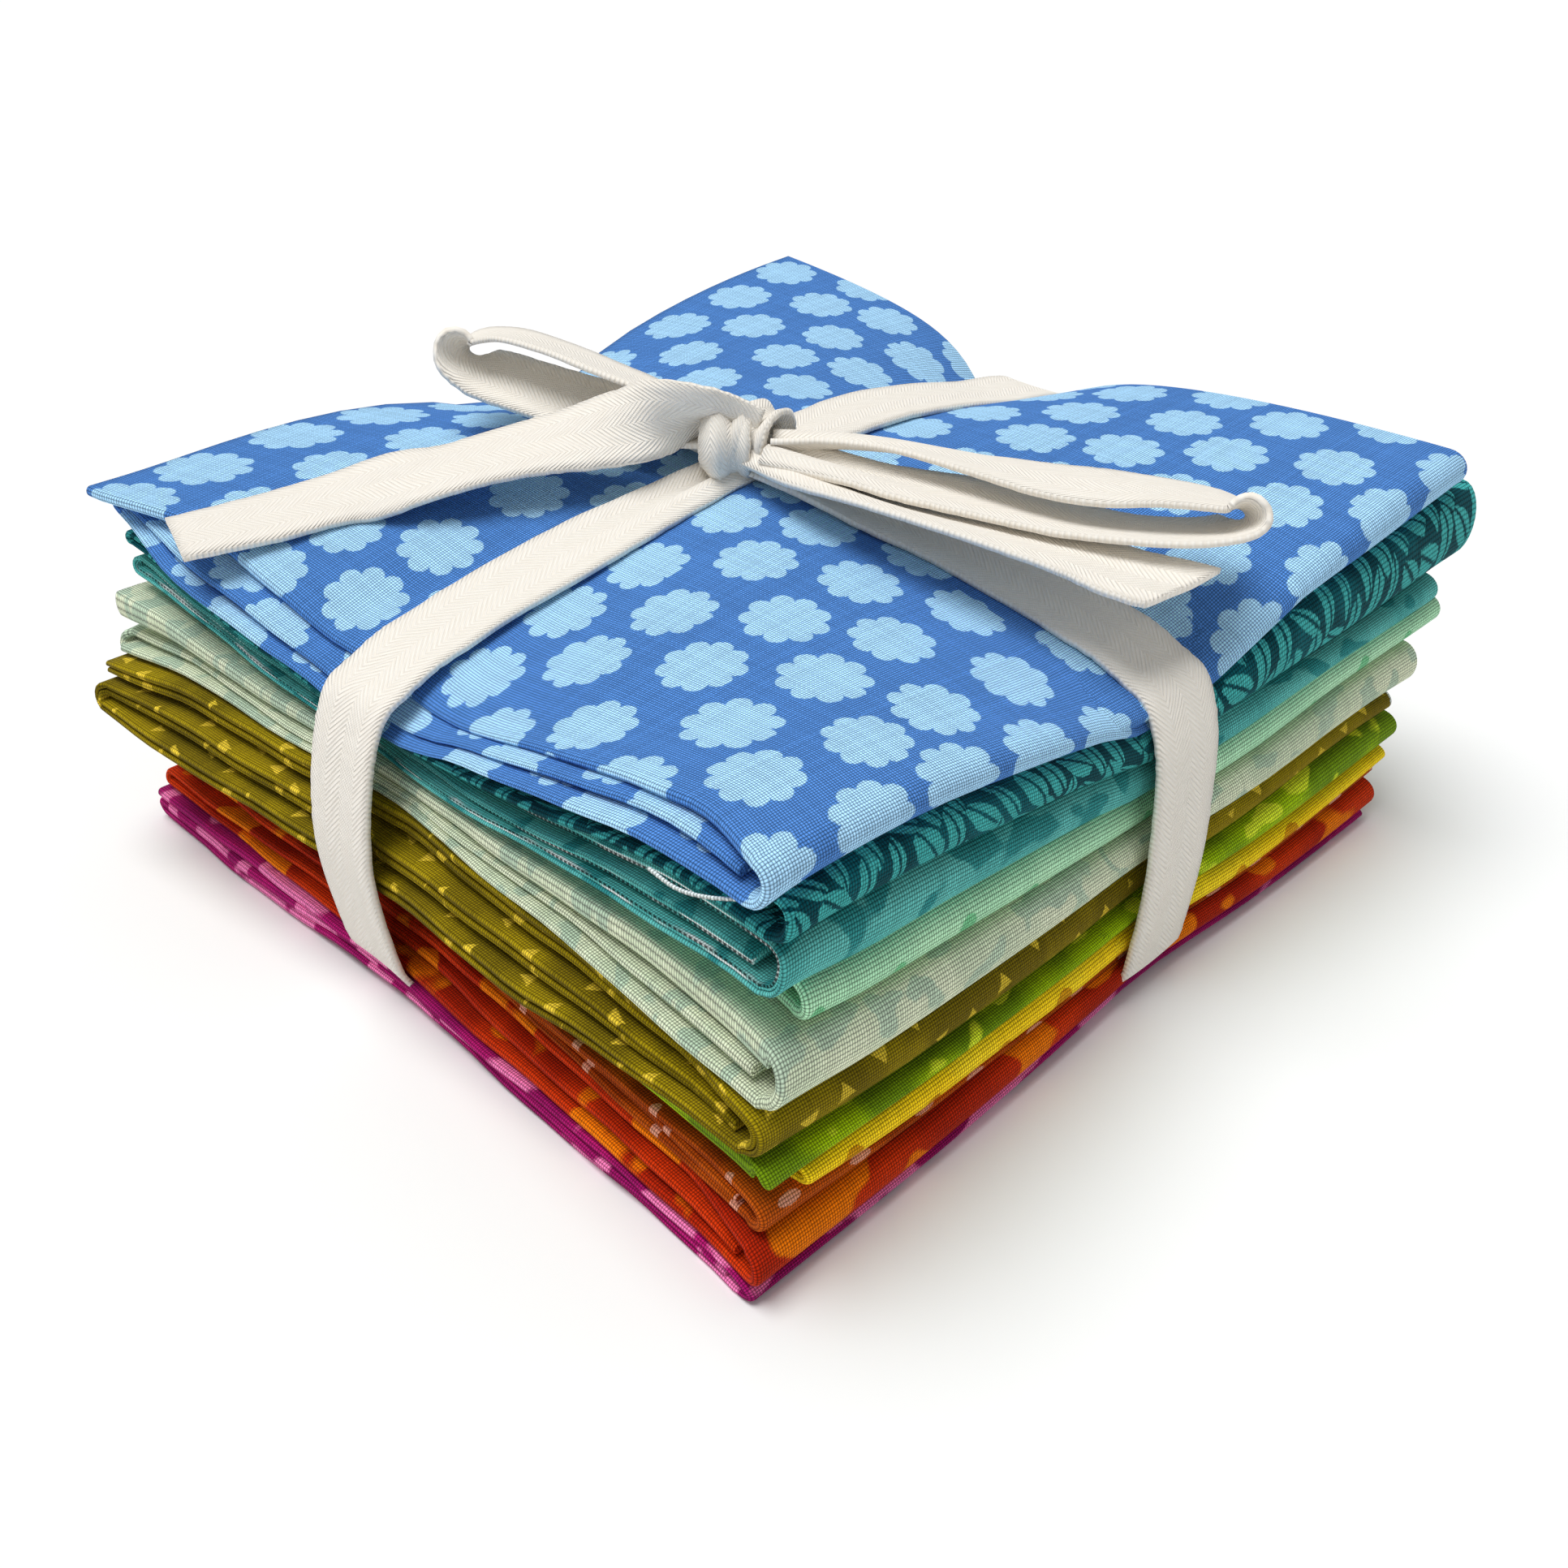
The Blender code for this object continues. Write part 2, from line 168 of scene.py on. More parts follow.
MIDDLE_LEVELS = (0.0, 4.4, 10.2, 14.6, 19.0, 23.4, 30.8, 37.0, 41.8, 48.2, 54.0, 60.2)
LEFT_RIM = RimTable(
    (-70.0, -58.0, -49.0, -38.0, -27.0, -16.0, -5.0, 16.0, 24.0, 35.0, 48.0, 62.0, 72.0),
    (
        (0.0, 0.0, 0.0, 0.0, 0.1, 0.5, 1.2, 1.2, 0.4, 0.1, 0.0, 0.0, 0.0),
        (2.6, 3.6, 3.9, 4.0, 4.1, 4.2, 4.4, 5.2, 6.0, 6.0, 6.0, 6.0, 6.0),
        (8.2, 9.4, 10.2, 11.0, 11.1, 11.4, 12.0, 11.5, 11.3, 11.1, 11.0, 11.0, 11.0),
        (13.5, 14.4, 14.9, 15.2, 14.7, 14.6, 14.9, 14.5, 14.2, 14.0, 14.0, 14.0, 14.0),
        (16.4, 16.9, 17.2, 17.3, 17.0, 17.2, 17.6, 17.2, 17.0, 17.0, 17.1, 17.2, 17.2),
        (21.0, 20.5, 20.0, 20.0, 19.3, 20.0, 20.6, 20.4, 20.5, 20.8, 21.0, 22.2, 24.0),
        (27.2, 29.3, 30.8, 32.4, 32.7, 32.6, 33.2, 32.9, 32.6, 32.6, 33.0, 32.0, 30.4),
        (36.5, 38.4, 39.2, 39.2, 38.2, 37.4, 36.8, 36.9, 37.1, 37.8, 39.4, 41.2, 41.6),
        (42.8, 41.6, 41.2, 40.8, 39.8, 38.9, 38.3, 38.4, 38.7, 39.5, 41.2, 43.0, 43.6),
        (49.0, 48.6, 48.0, 46.0, 43.9, 42.6, 41.6, 41.6, 42.1, 43.0, 45.0, 47.6, 48.2),
        (54.6, 54.4, 53.6, 51.6, 49.4, 47.4, 45.4, 44.9, 45.5, 46.5, 48.6, 51.4, 52.4),
        (61.0, 59.4, 57.6, 54.9, 52.3, 49.9, 48.0, 48.6, 50.0, 52.2, 54.8, 57.0, 57.8),
    ),
)
FRONT_RIM = RimTable(
    (-70.0, -64.0, -54.0, -42.0, -30.0, -12.0, 0.0, 14.0, 27.0, 36.0, 47.0, 60.0, 72.0),
    (
        (0.0, 0.0, 0.0, 0.0, 0.2, 0.8, 1.2, 1.2, 0.6, 0.2, 0.0, 0.0, 0.0),
        (2.2, 2.3, 2.3, 2.4, 2.6, 2.9, 3.1, 3.0, 2.6, 2.3, 2.2, 2.2, 2.2),
        (8.2, 8.1, 7.8, 7.8, 8.1, 7.6, 7.1, 6.8, 6.4, 6.3, 6.7, 7.4, 8.0),
        (13.5, 12.0, 9.4, 8.6, 8.8, 8.3, 7.8, 7.5, 7.3, 7.8, 8.6, 9.6, 10.4),
        (16.4, 16.6, 16.2, 15.5, 15.4, 14.5, 13.8, 13.2, 12.4, 12.3, 12.6, 13.2, 13.8),
        (21.0, 19.6, 17.9, 17.0, 16.9, 16.5, 16.4, 16.6, 17.2, 18.0, 19.2, 19.6, 18.9),
        (27.2, 26.2, 24.5, 24.1, 24.0, 23.6, 23.5, 23.2, 22.9, 23.2, 24.0, 24.2, 23.3),
        (36.5, 35.4, 33.1, 32.3, 31.5, 30.2, 29.2, 28.8, 28.6, 29.4, 30.6, 31.1, 31.0),
        (42.8, 42.5, 39.9, 39.3, 38.4, 36.7, 35.3, 34.8, 35.0, 35.8, 36.6, 36.7, 36.5),
        (49.0, 50.0, 49.2, 47.5, 45.6, 43.2, 41.4, 40.5, 40.0, 40.2, 40.7, 41.2, 41.8),
        (54.6, 56.2, 55.9, 54.2, 51.7, 48.6, 46.8, 47.2, 50.4, 51.8, 52.7, 54.2, 55.5),
        (61.0, 60.9, 60.0, 58.4, 56.0, 52.2, 50.2, 50.4, 54.0, 56.6, 58.8, 60.6, 61.4),
    ),
)


@dataclass(frozen=True)
class StackForm:
    """Outer form of the tied stack, in millimetres: the tape pulls in its four rims."""

    lane_half: float = 7.0
    fade_span: float = 56.0
    near_fall: float = 8.0
    hollow: float = 1.6
    lane_centres: Row = (6.5, 10.5, 6.5, 6.5)
    fade_shares: Row = (0.72, 0.35, 0.72, 0.72)
    far_dips: Row = (10.0, 9.5)
    far_lifts: Row = (3.0, 3.0)
    corner_rises: Row = (-2.4, 1.0, 1.8)
    side_pinch: float = 3.0
    fold_pinch: float = 3.2
    rim_round: float = 3.0
    near_reach: float = 65.5
    crease: float = 0.4

    def lane(self, place: Array, side: int) -> Array:
        """Share of the tape's pull at a place along one side, 1 under the tape.

        Args:
            place: Millimetres along the side.
            side: 0 left, 1 right, 2 front, 3 back.

        Returns:
            The share, 0 to 1.
        """
        away = np.maximum(0.0, np.abs(place - self.lane_centres[side]) - self.lane_half)
        wide = np.clip(1.0 - away / self.fade_span, 0.0, 1.0) ** 2
        share = self.fade_shares[side]
        return share * wide + (1.0 - share) * np.exp(-away / self.near_fall)

    def under_tape(self, place: Array) -> Array:
        """Share of the hollow pressed by the tape at a place across its lane."""
        away = np.maximum(0.0, np.abs(place - self.lane_centres[0]) - self.lane_half)
        return np.exp(-away / self.near_fall)

    def near_rim(self, out: Array, aside: Array) -> Array:
        """How near a place is to one of the two near rims; the fall is gentler by the tape.

        Args:
            out: Millimetres out from the middle towards the rim.
            aside: Millimetres along the rim from the tape.

        Returns:
            The share, 0 in the middle and 1 at the rim.
        """
        steepness = 2.3 - 1.15 * np.exp(-(aside / 26.0) ** 2)
        return np.clip(out / self.near_reach, 0.0, 1.0) ** steepness

    def rims(self, x: Array, y: Array) -> list[Array]:
        """How near a place is to each rim: left, right, front and back.

        Args:
            x: Millimetres to the right.
            y: Millimetres to the back.

        Returns:
            Four shares, 0 in the middle and 1 at the rim.
        """
        left = self.near_rim(-x, y - 6.5)
        right = np.clip((x - 7.0) / 63.0, 0.0, 1.1) ** 1.9
        front = self.near_rim(-y, x - 4.5)
        back = np.clip((y - 7.0) / 63.0, 0.0, 1.1) ** 1.9
        return [left, right, front, back]

    def level(self, x: Array, y: Array, rank: Array) -> Array:
        """Height of a level of the stack.

        Args:
            x: Millimetres to the right.
            y: Millimetres to the back.
            rank: Packets below the level, with the share of its own packet.

        Returns:
            The height.
        """
        left, right, front, back = self.rims(x, y)
        top_rank = len(MIDDLE_LEVELS) - 1.0
        middle = np.interp(rank, np.arange(len(MIDDLE_LEVELS)), MIDDLE_LEVELS)
        share = middle / MIDDLE_LEVELS[-1]
        clear = (1.0 - self.under_tape(x)) * (1.0 - self.under_tape(y))
        middle = middle + self.hollow * (1.0 - clear) * (1.0 - share) ** 3
        rank = np.clip(rank, 0.0, top_rank)
        left_shift = LEFT_RIM.read(y, rank) - middle
        front_shift = FRONT_RIM.read(x, rank) - middle
        crowd = np.maximum(1.0, left + front)
        height = middle + (left * left_shift + front * front_shift) / crowd
        calm = 1.0 - np.maximum(left, front)
        far_sides = ((1, right, y), (3, back, x))
        for (side, rim, along), lift, dip in zip(far_sides, self.far_lifts, self.far_dips):
            lane = self.lane(along, side)
            pull = lift * (1.0 - share) - dip * share
            height = height + pull * lane * rim * (0.25 + 0.75 * calm)
        rises = self.corner_rises
        rise = rises[0] * left * back * calm + rises[1] * right * front * calm + rises[2] * right * back
        bend = self.under_tape(y) * np.clip((-x - 57.0) / 11.0, 0.0, 1.3) ** 2
        bend = bend + self.under_tape(x) * np.clip((-y - 57.0) / 11.0, 0.0, 1.3) ** 2
        return height + rise * share - self.rim_round * bend * share ** 2 + self.creases(x, y) * share ** 4

    def creases(self, x: Array, y: Array) -> Array:
        """Soft creases that run out from under the tape."""
        front = np.sin((0.8 * x + 0.5 * y) / 1.9 + 1.3 * np.sin(x / 9.0)) * np.exp(-(((x - 22.0) / 11.0) ** 2))
        left = np.sin((0.4 * x + 0.9 * y) / 2.1 + 1.1 * np.sin(y / 8.0)) * np.exp(-(((y - 22.0) / 9.0) ** 2))
        return self.crease * (front * np.clip(-y / 62.0, 0.0, 1.0) ** 2 + left * np.clip(-x / 62.0, 0.0, 1.0) ** 2)

    def top(self, x: Array, y: Array) -> Array:
        """Height of the top of the stack."""
        return self.level(x, y, np.full(np.shape(x), len(MIDDLE_LEVELS) - 1.0))

    def drawn_in(self, x: Array, y: Array, share: Array) -> tuple[Array, Array]:
        """Draw the sides of a layer in where the tape crosses them.

        Args:
            x: Millimetres to the right.
            y: Millimetres to the back.
            share: Share of the stack's depth, 0 at the underside.

        Returns:
            The places after the pull.
        """
        left, right, front, back = self.rims(x, y)
        across = left * self.lane(y, 0) - right * self.lane(y, 1)
        along = front * self.lane(x, 2) - back * self.lane(x, 3)
        pull = 0.45 + 0.55 * share
        return x + self.side_pinch * across * pull, y + self.fold_pinch * along * pull


@dataclass(frozen=True)
class Print:
    """Printed cotton finish: ground, motif and second motif colours, and the motif's size."""

    kind: PrintKind
    ground: Colour
    motif: Colour
    shade: Colour
    pitch_x: float
    pitch_y: float
    size: float
    turn: float = 0.0


class Graph:
    """Short way to write a material's node tree."""

    def __init__(self, name: str, rough: float, sheen: float) -> None:
        """Make a material with its shader set.

        Args:
            name: Name of the material.
            rough: Roughness of the surface.
            sheen: Weight of the soft sheen of loose fibres.
        """
        self.material = bpy.data.materials.new(name)
        self.material.use_nodes = True
        self.nodes = self.material.node_tree.nodes
        self.links = self.material.node_tree.links
        self.shader = self.nodes["Principled BSDF"]
        self.shader.inputs["Roughness"].default_value = rough
        self.shader.inputs["Sheen Weight"].default_value = sheen
        self.shader.inputs["Sheen Roughness"].default_value = 0.5
        self.shader.inputs["Specular IOR Level"].default_value = 0.06

    def feed(self, socket: bpy.types.NodeSocket, value: object) -> None:
        """Link a socket to another, or set its value."""
        if isinstance(value, bpy.types.NodeSocket):
            self.links.new(value, socket)
        elif value is not None:
            socket.default_value = value

    def math(self, operation: str, *values: object) -> bpy.types.NodeSocket:
        """Add a Math node.

        Args:
            operation: Name of the operation.
            values: Sockets or numbers.

        Returns:
            The result.
        """
        node = self.nodes.new("ShaderNodeMath")
        node.operation = operation
        for socket, value in zip(node.inputs, values):
            self.feed(socket, value)
        return node.outputs[0]

    def distance(self, x: object, y: object) -> bpy.types.NodeSocket:
        """Straight distance of a place from the origin."""
        return self.math("SQRT", self.squares(x, y))

    def squares(self, x: object, y: object) -> bpy.types.NodeSocket:
        """Sum of the squares of two values."""
        return self.math("ADD", self.math("POWER", x, 2.0), self.math("POWER", y, 2.0))

    def mix(self, share: object, first: object, second: object) -> bpy.types.NodeSocket:
        """Mix two colours.

        Args:
            share: Share of the second.
            first: Socket or colour.
            second: Socket or colour.

        Returns:
            The mixed colour.
        """
        node = self.nodes.new("ShaderNodeMix")
        node.data_type = "RGBA"
        self.feed(node.inputs["Factor"], share)
        for socket, value in ((node.inputs[6], first), (node.inputs[7], second)):
            self.feed(socket, (*value, 1.0) if isinstance(value, tuple) else value)
        return node.outputs[2]

    def scaled(self, colour: object, factor: object) -> bpy.types.NodeSocket:
        """Darken or lighten a colour by a factor."""
        node = self.nodes.new("ShaderNodeVectorMath")
        node.operation = "SCALE"
        self.feed(node.inputs[0], colour)
        self.feed(node.inputs["Scale"], factor)
        return node.outputs[0]

    def cloth_place(self) -> tuple[bpy.types.NodeSocket, bpy.types.NodeSocket]:
        """Place on the flat cloth, in millimetres across and along."""
        uv = self.nodes.new("ShaderNodeUVMap")
        uv.uv_map = "cloth"
        split = self.nodes.new("ShaderNodeSeparateXYZ")
        self.feed(split.inputs[0], uv.outputs[0])
        across = self.math("MULTIPLY", split.outputs[0], 1000.0)
        along = self.math("MULTIPLY", split.outputs[1], 1000.0)
        return across, along

    def joined(self, x: object, y: object, z: object = 0.0) -> bpy.types.NodeSocket:
        """Join three numbers as a place."""
        node = self.nodes.new("ShaderNodeCombineXYZ")
        for socket, value in zip(node.inputs, (x, y, z)):
            self.feed(socket, value)
        return node.outputs[0]

    def noise(self, place: object, scale: float, detail: float = 2.0) -> bpy.types.NodeSocket:
        """Soft noise between 0 and 1.

        Args:
            place: Where to read it.
            scale: Waves per unit of place.
            detail: Number of finer waves.

        Returns:
            The value.
        """
        node = self.nodes.new("ShaderNodeTexNoise")
        self.feed(node.inputs["Vector"], place)
        node.inputs["Scale"].default_value = scale
        node.inputs["Detail"].default_value = detail
        return node.outputs["Fac"]

    def clouds(self, x: object, y: object) -> bpy.types.NodeSocket:
        """Wide soft patches over the cloth, 0 to 1."""
        return self.ramp(self.noise(self.joined(x, y), 0.07, 2.0), 0.42, 0.62)

    def chance(self, place: object) -> tuple[bpy.types.NodeSocket, bpy.types.NodeSocket]:
        """One random value and one random colour for each whole place."""
        node = self.nodes.new("ShaderNodeTexWhiteNoise")
        node.noise_dimensions = "2D"
        self.feed(node.inputs["Vector"], place)
        return node.outputs["Value"], node.outputs["Color"]

    def ramp(self, value: object, low: float, high: float) -> bpy.types.NodeSocket:
        """Soft step from 0 at low to 1 at high."""
        node = self.nodes.new("ShaderNodeMapRange")
        node.interpolation_type = "SMOOTHSTEP"
        self.feed(node.inputs["Value"], value)
        node.inputs["From Min"].default_value = low
        node.inputs["From Max"].default_value = high
        return node.outputs["Result"]

    def bumped(self, height: object, distance: float, strength: float) -> None:
        """Give the shader a bump, after any that it has.

        Args:
            height: Height of the relief, 0 to 1.
            distance: Depth of the relief in metres.
            strength: Share of it that shows.
        """
        node = self.nodes.new("ShaderNodeBump")
        node.inputs["Strength"].default_value = strength
        node.inputs["Distance"].default_value = distance
        self.feed(node.inputs["Height"], height)
        slot = self.shader.inputs["Normal"]
        if slot.is_linked:
            self.feed(node.inputs["Normal"], slot.links[0].from_socket)
        self.feed(slot, node.outputs[0])


@dataclass(frozen=True)
class PlainWeave:
    """Plain weave of quilting cotton: thread pitch in millimetres and how deep it shows."""

    pitch: float = 0.40
    depth: float = 0.00014
    # Brightness left in the painted shade of the gaps between the threads.
    painted_gap_shade: float = 0.10
    thread_change: float = 0.26

    def dress(self, graph: Graph, across: object, along: object) -> bpy.types.NodeSocket:
        """Add the weave's relief.

        Args:
            graph: Material to dress.
            across: Millimetres across the cloth.
            along: Millimetres along it.

        Returns:
            Painted shade in the gaps between the threads and painted highlight on their crowns, with a random change
            for each thread, as a factor about 1.
        """
        warp = graph.math("DIVIDE", across, self.pitch)
        weft = graph.math("DIVIDE", along, self.pitch)
        warp_wave = graph.math("ABSOLUTE", graph.math("SINE", graph.math("MULTIPLY", warp, math.pi)))
        weft_wave = graph.math("ABSOLUTE", graph.math("SINE", graph.math("MULTIPLY", weft, math.pi)))
        warp_count = graph.math("FLOOR", warp)
        weft_count = graph.math("FLOOR", weft)
        total = graph.math("ADD", warp_count, weft_count)
        over = graph.math("FLOORED_MODULO", total, 2.0)
        under = graph.math("SUBTRACT", 1.0, over)
        warp_top = graph.math("POWER", warp_wave, 0.6)
        weft_top = graph.math("POWER", weft_wave, 0.6)
        warp_rise = graph.math("MULTIPLY", warp_top, graph.math("MULTIPLY_ADD", weft_wave, 0.5, 0.5))
        weft_rise = graph.math("MULTIPLY", weft_top, graph.math("MULTIPLY_ADD", warp_wave, 0.5, 0.5))
        height = graph.math(
            "ADD",
            graph.math("MULTIPLY", warp_rise, over),
            graph.math("MULTIPLY", weft_rise, under),
        )
        graph.bumped(height, self.depth, 0.9)
        warp_chance = graph.chance(graph.joined(warp_count, 3.0))[0]
        weft_chance = graph.chance(graph.joined(7.0, weft_count))[0]
        thread = graph.math(
            "ADD",
            graph.math("MULTIPLY", warp_chance, over),
            graph.math("MULTIPLY", weft_chance, under),
        )
        # Painted light and shade of the weave: gaps between threads darkened, thread crowns lightened up to 1.6
        # times.
        light = graph.math("MULTIPLY_ADD", height, 1.6 - self.painted_gap_shade, self.painted_gap_shade)
        change = graph.math("MULTIPLY_ADD", thread, self.thread_change, 1.0 - self.thread_change / 2.0)
        return graph.math("MULTIPLY", light, change)


@dataclass(frozen=True)
class CottonFinish:
    """Printed plain-woven cotton."""

    name: str
    printed: Print
    cut_width: float
    weave: PlainWeave = PlainWeave()
    rough: float = 0.88
    sheen: float = 0.03
    rumple_depth: float = 0.0007
    fray: Colour = linear(226, 236, 234)

    def material(self) -> bpy.types.Material:
        """Build the material.

        Returns:
            The finished material.
        """
        graph = Graph("cotton_" + self.name, self.rough, self.sheen)
        across, along = graph.cloth_place()
        place = graph.joined(across, along)
        fuzz = graph.math("MULTIPLY_ADD", graph.noise(place, 2.6, 1.0), 0.5, -0.25)
        x = graph.math("ADD", across, fuzz)
        y = graph.math("ADD", along, graph.math("MULTIPLY", fuzz, -0.7))
        colour = self.motif_colour(graph, x, y)
        rumple = graph.noise(place, 0.09, 3.0)
        graph.bumped(rumple, self.rumple_depth, 0.5)
        # The weave's painted shade and highlight, as a factor on the colour.
        shade = self.weave.dress(graph, across, along)
        from_cut = graph.math("MINIMUM", across, graph.math("SUBTRACT", self.cut_width, across))
        ragged = graph.math("MULTIPLY_ADD", graph.noise(place, 1.4, 3.0), -0.7, from_cut)
        patchy = graph.ramp(graph.noise(place, 0.07, 2.0), 0.48, 0.58)
        frayed = graph.math("MULTIPLY", graph.ramp(ragged, 0.22, -0.2), patchy)
        frayed = graph.math("MAXIMUM", frayed, graph.ramp(from_cut, -0.5, -1.0))
        colour = graph.mix(frayed, colour, self.fray)
        # Random darker and lighter mottling of the colour.
        mottle = graph.math("MULTIPLY_ADD", graph.noise(place, 0.35, 3.0), 0.14, 0.93)
        graph.feed(graph.shader.inputs["Base Color"], graph.scaled(colour, graph.math("MULTIPLY", shade, mottle)))
        return graph.material

    def cell(self, graph: Graph, x: object, y: object) -> tuple[object, object, object, object]:
        """Split the print into staggered cells, one motif each.

        Args:
            graph: Material to dress.
            x: Millimetres across the cloth.
            y: Millimetres along it.

        Returns:
            Millimetres from the motif's middle, both ways, and two random values.
        """
        turn = self.printed.turn
        turned_x = graph.math(
            "ADD",
            graph.math("MULTIPLY", x, math.cos(turn)),
            graph.math("MULTIPLY", y, math.sin(turn)),
        )
        turned_y = graph.math(
            "SUBTRACT",
            graph.math("MULTIPLY", y, math.cos(turn)),
            graph.math("MULTIPLY", x, math.sin(turn)),
        )
        row = graph.math("DIVIDE", turned_y, self.printed.pitch_y)
        row_count = graph.math("FLOOR", row)
        stagger = graph.math("MULTIPLY", graph.math("FLOORED_MODULO", row_count, 2.0), 0.5)
        column = graph.math("ADD", graph.math("DIVIDE", turned_x, self.printed.pitch_x), stagger)
        column_count = graph.math("FLOOR", column)
        value, colour = graph.chance(graph.joined(column_count, row_count))
        split = graph.nodes.new("ShaderNodeSeparateXYZ")
        graph.feed(split.inputs[0], colour)
        away_x = graph.math("SUBTRACT", graph.math("SUBTRACT", column, column_count), 0.5)
        away_y = graph.math("SUBTRACT", graph.math("SUBTRACT", row, row_count), 0.5)
        shift_x = graph.math("MULTIPLY_ADD", split.outputs[0], 0.2, -0.1)
        shift_y = graph.math("MULTIPLY_ADD", split.outputs[1], 0.2, -0.1)
        away_x = graph.math("MULTIPLY", graph.math("ADD", away_x, shift_x), self.printed.pitch_x)
        away_y = graph.math("MULTIPLY", graph.math("ADD", away_y, shift_y), self.printed.pitch_y)
        return away_x, away_y, value, split.outputs[2]

    def motif_colour(self, graph: Graph, x: object, y: object) -> bpy.types.NodeSocket:
        """Colour of the print at a place.

        Args:
            graph: Material to dress.
            x: Millimetres across the cloth.
            y: Millimetres along it.

        Returns:
            The colour.
        """
        makers = {
            PrintKind.BLOSSOM: self.blossoms,
            PrintKind.LEAF: self.leaves,
            PrintKind.BLOTCH: self.blotches,
            PrintKind.DOT: self.dots,
            PrintKind.FLECK: self.flecks,
            PrintKind.DASH: self.dashes,
        }
        mask, tone = makers[self.printed.kind](graph, x, y)
        ground = graph.mix(tone, self.printed.ground, self.printed.shade)
        return graph.mix(mask, ground, self.printed.motif)

    def blossoms(self, graph: Graph, x: object, y: object) -> tuple[object, object]:
        """Round blossoms with nine scalloped petals."""
        away_x, away_y, value, other = self.cell(graph, x, y)
        radius = graph.distance(away_x, away_y)
        angle = graph.math("ADD", graph.math("ARCTAN2", away_y, away_x), graph.math("MULTIPLY", value, TURN))
        petal = TURN / 9.0
        share = graph.math("SUBTRACT", graph.math("FLOORED_MODULO", angle, petal), petal / 2.0)
        grown = graph.math("MULTIPLY_ADD", other, 0.14, 0.93)
        ring = graph.math("MULTIPLY", grown, self.printed.size * 0.378)
        along = graph.math("SUBTRACT", graph.math("MULTIPLY", radius, graph.math("COSINE", share)), ring)
        aside = graph.math("MULTIPLY", radius, graph.math("SINE", share))
        lobe = graph.distance(along, aside)
        lobe_size = self.printed.size * 0.137
        petals = graph.math("SUBTRACT", lobe, lobe_size)
        heart = graph.math("SUBTRACT", radius, graph.math("MULTIPLY", ring, 1.02))
        edge = graph.math("MINIMUM", petals, heart)
        return graph.ramp(edge, 0.12, -0.12), 0.0

    def leaves(self, graph: Graph, x: object, y: object) -> tuple[object, object]:
        """Leaf strokes in pairs, each with a dark rib."""
        away_x, away_y, value, other = self.cell(graph, x, y)
        swing = graph.math("MULTIPLY_ADD", value, 1.5, -0.75)
        slant = graph.math("SUBTRACT", away_y, graph.math("MULTIPLY", away_x, swing))
        length = self.printed.size
        inside = graph.math("SUBTRACT", 1.0, graph.math("POWER", graph.math("DIVIDE", away_x, length / 2.0), 2.0))
        breadth = graph.math("MULTIPLY_ADD", other, length * 0.14, length * 0.13)
        half = graph.math("MULTIPLY", graph.math("MAXIMUM", inside, 0.0), breadth)
        edge = graph.math("SUBTRACT", graph.math("ABSOLUTE", slant), half)
        leaf = graph.ramp(edge, 0.12, -0.12)
        rib = graph.ramp(graph.math("ABSOLUTE", graph.math("ADD", slant, 0.2)), 0.1, 0.34)
        patch = graph.ramp(graph.noise(graph.joined(x, y), 0.12, 2.0), 0.45, 0.6)
        return graph.math("MULTIPLY", leaf, rib), patch

    def blotches(self, graph: Graph, x: object, y: object) -> tuple[object, object]:
        """Loose painted patches in two colours."""
        across = graph.math("DIVIDE", x, self.printed.pitch_x)
        along = graph.math("DIVIDE", y, self.printed.pitch_y)
        place = graph.joined(across, along)
        low = 1.0 - self.printed.size
        mask = graph.ramp(graph.noise(place, 1.0, 1.5), low - 0.02, low + 0.02)
        tone = graph.ramp(graph.noise(place, 0.6, 1.0), 0.42, 0.6)
        return mask, tone

    def dots(self, graph: Graph, x: object, y: object) -> tuple[object, object]:
        """Loose round dots."""
        away_x, away_y, value, other = self.cell(graph, x, y)
        radius = graph.distance(away_x, away_y)
        grown = graph.math("MULTIPLY", graph.math("MULTIPLY_ADD", value, 0.7, 0.5), self.printed.size / 2.0)
        mask = graph.ramp(graph.math("SUBTRACT", radius, grown), 0.12, -0.12)
        tone = graph.clouds(x, y)
        return mask, tone

    def flecks(self, graph: Graph, x: object, y: object) -> tuple[object, object]:
        """Small uneven three-cornered flecks."""
        away_x, away_y, value, other = self.cell(graph, x, y)
        size = graph.math("MULTIPLY", graph.math("MULTIPLY_ADD", other, 0.6, 0.6), self.printed.size)
        flip = graph.math("SIGN", graph.math("SUBTRACT", value, 0.35))
        rise = graph.math("MULTIPLY", away_y, flip)
        slope = graph.math("MULTIPLY_ADD", graph.math("ABSOLUTE", away_x), 1.7, rise)
        flank = graph.math("SUBTRACT", slope, graph.math("MULTIPLY", size, 0.5))
        foot = graph.math("SUBTRACT", graph.math("MULTIPLY", rise, -1.0), graph.math("MULTIPLY", size, 0.36))
        mask = graph.ramp(graph.math("MAXIMUM", flank, foot), 0.2, -0.2)
        tone = graph.clouds(x, y)
        return mask, tone

    def dashes(self, graph: Graph, x: object, y: object) -> tuple[object, object]:
        """Short brush dashes along the cloth."""
        away_x, away_y, value, other = self.cell(graph, x, y)
        length = graph.math("DIVIDE", away_x, self.printed.size * 0.5)
        breadth = graph.math("DIVIDE", away_y, self.printed.size * 0.2)
        spread = graph.squares(length, breadth)
        mask = graph.ramp(spread, 1.1, 0.8)
        tone = graph.clouds(x, y)
        return mask, tone


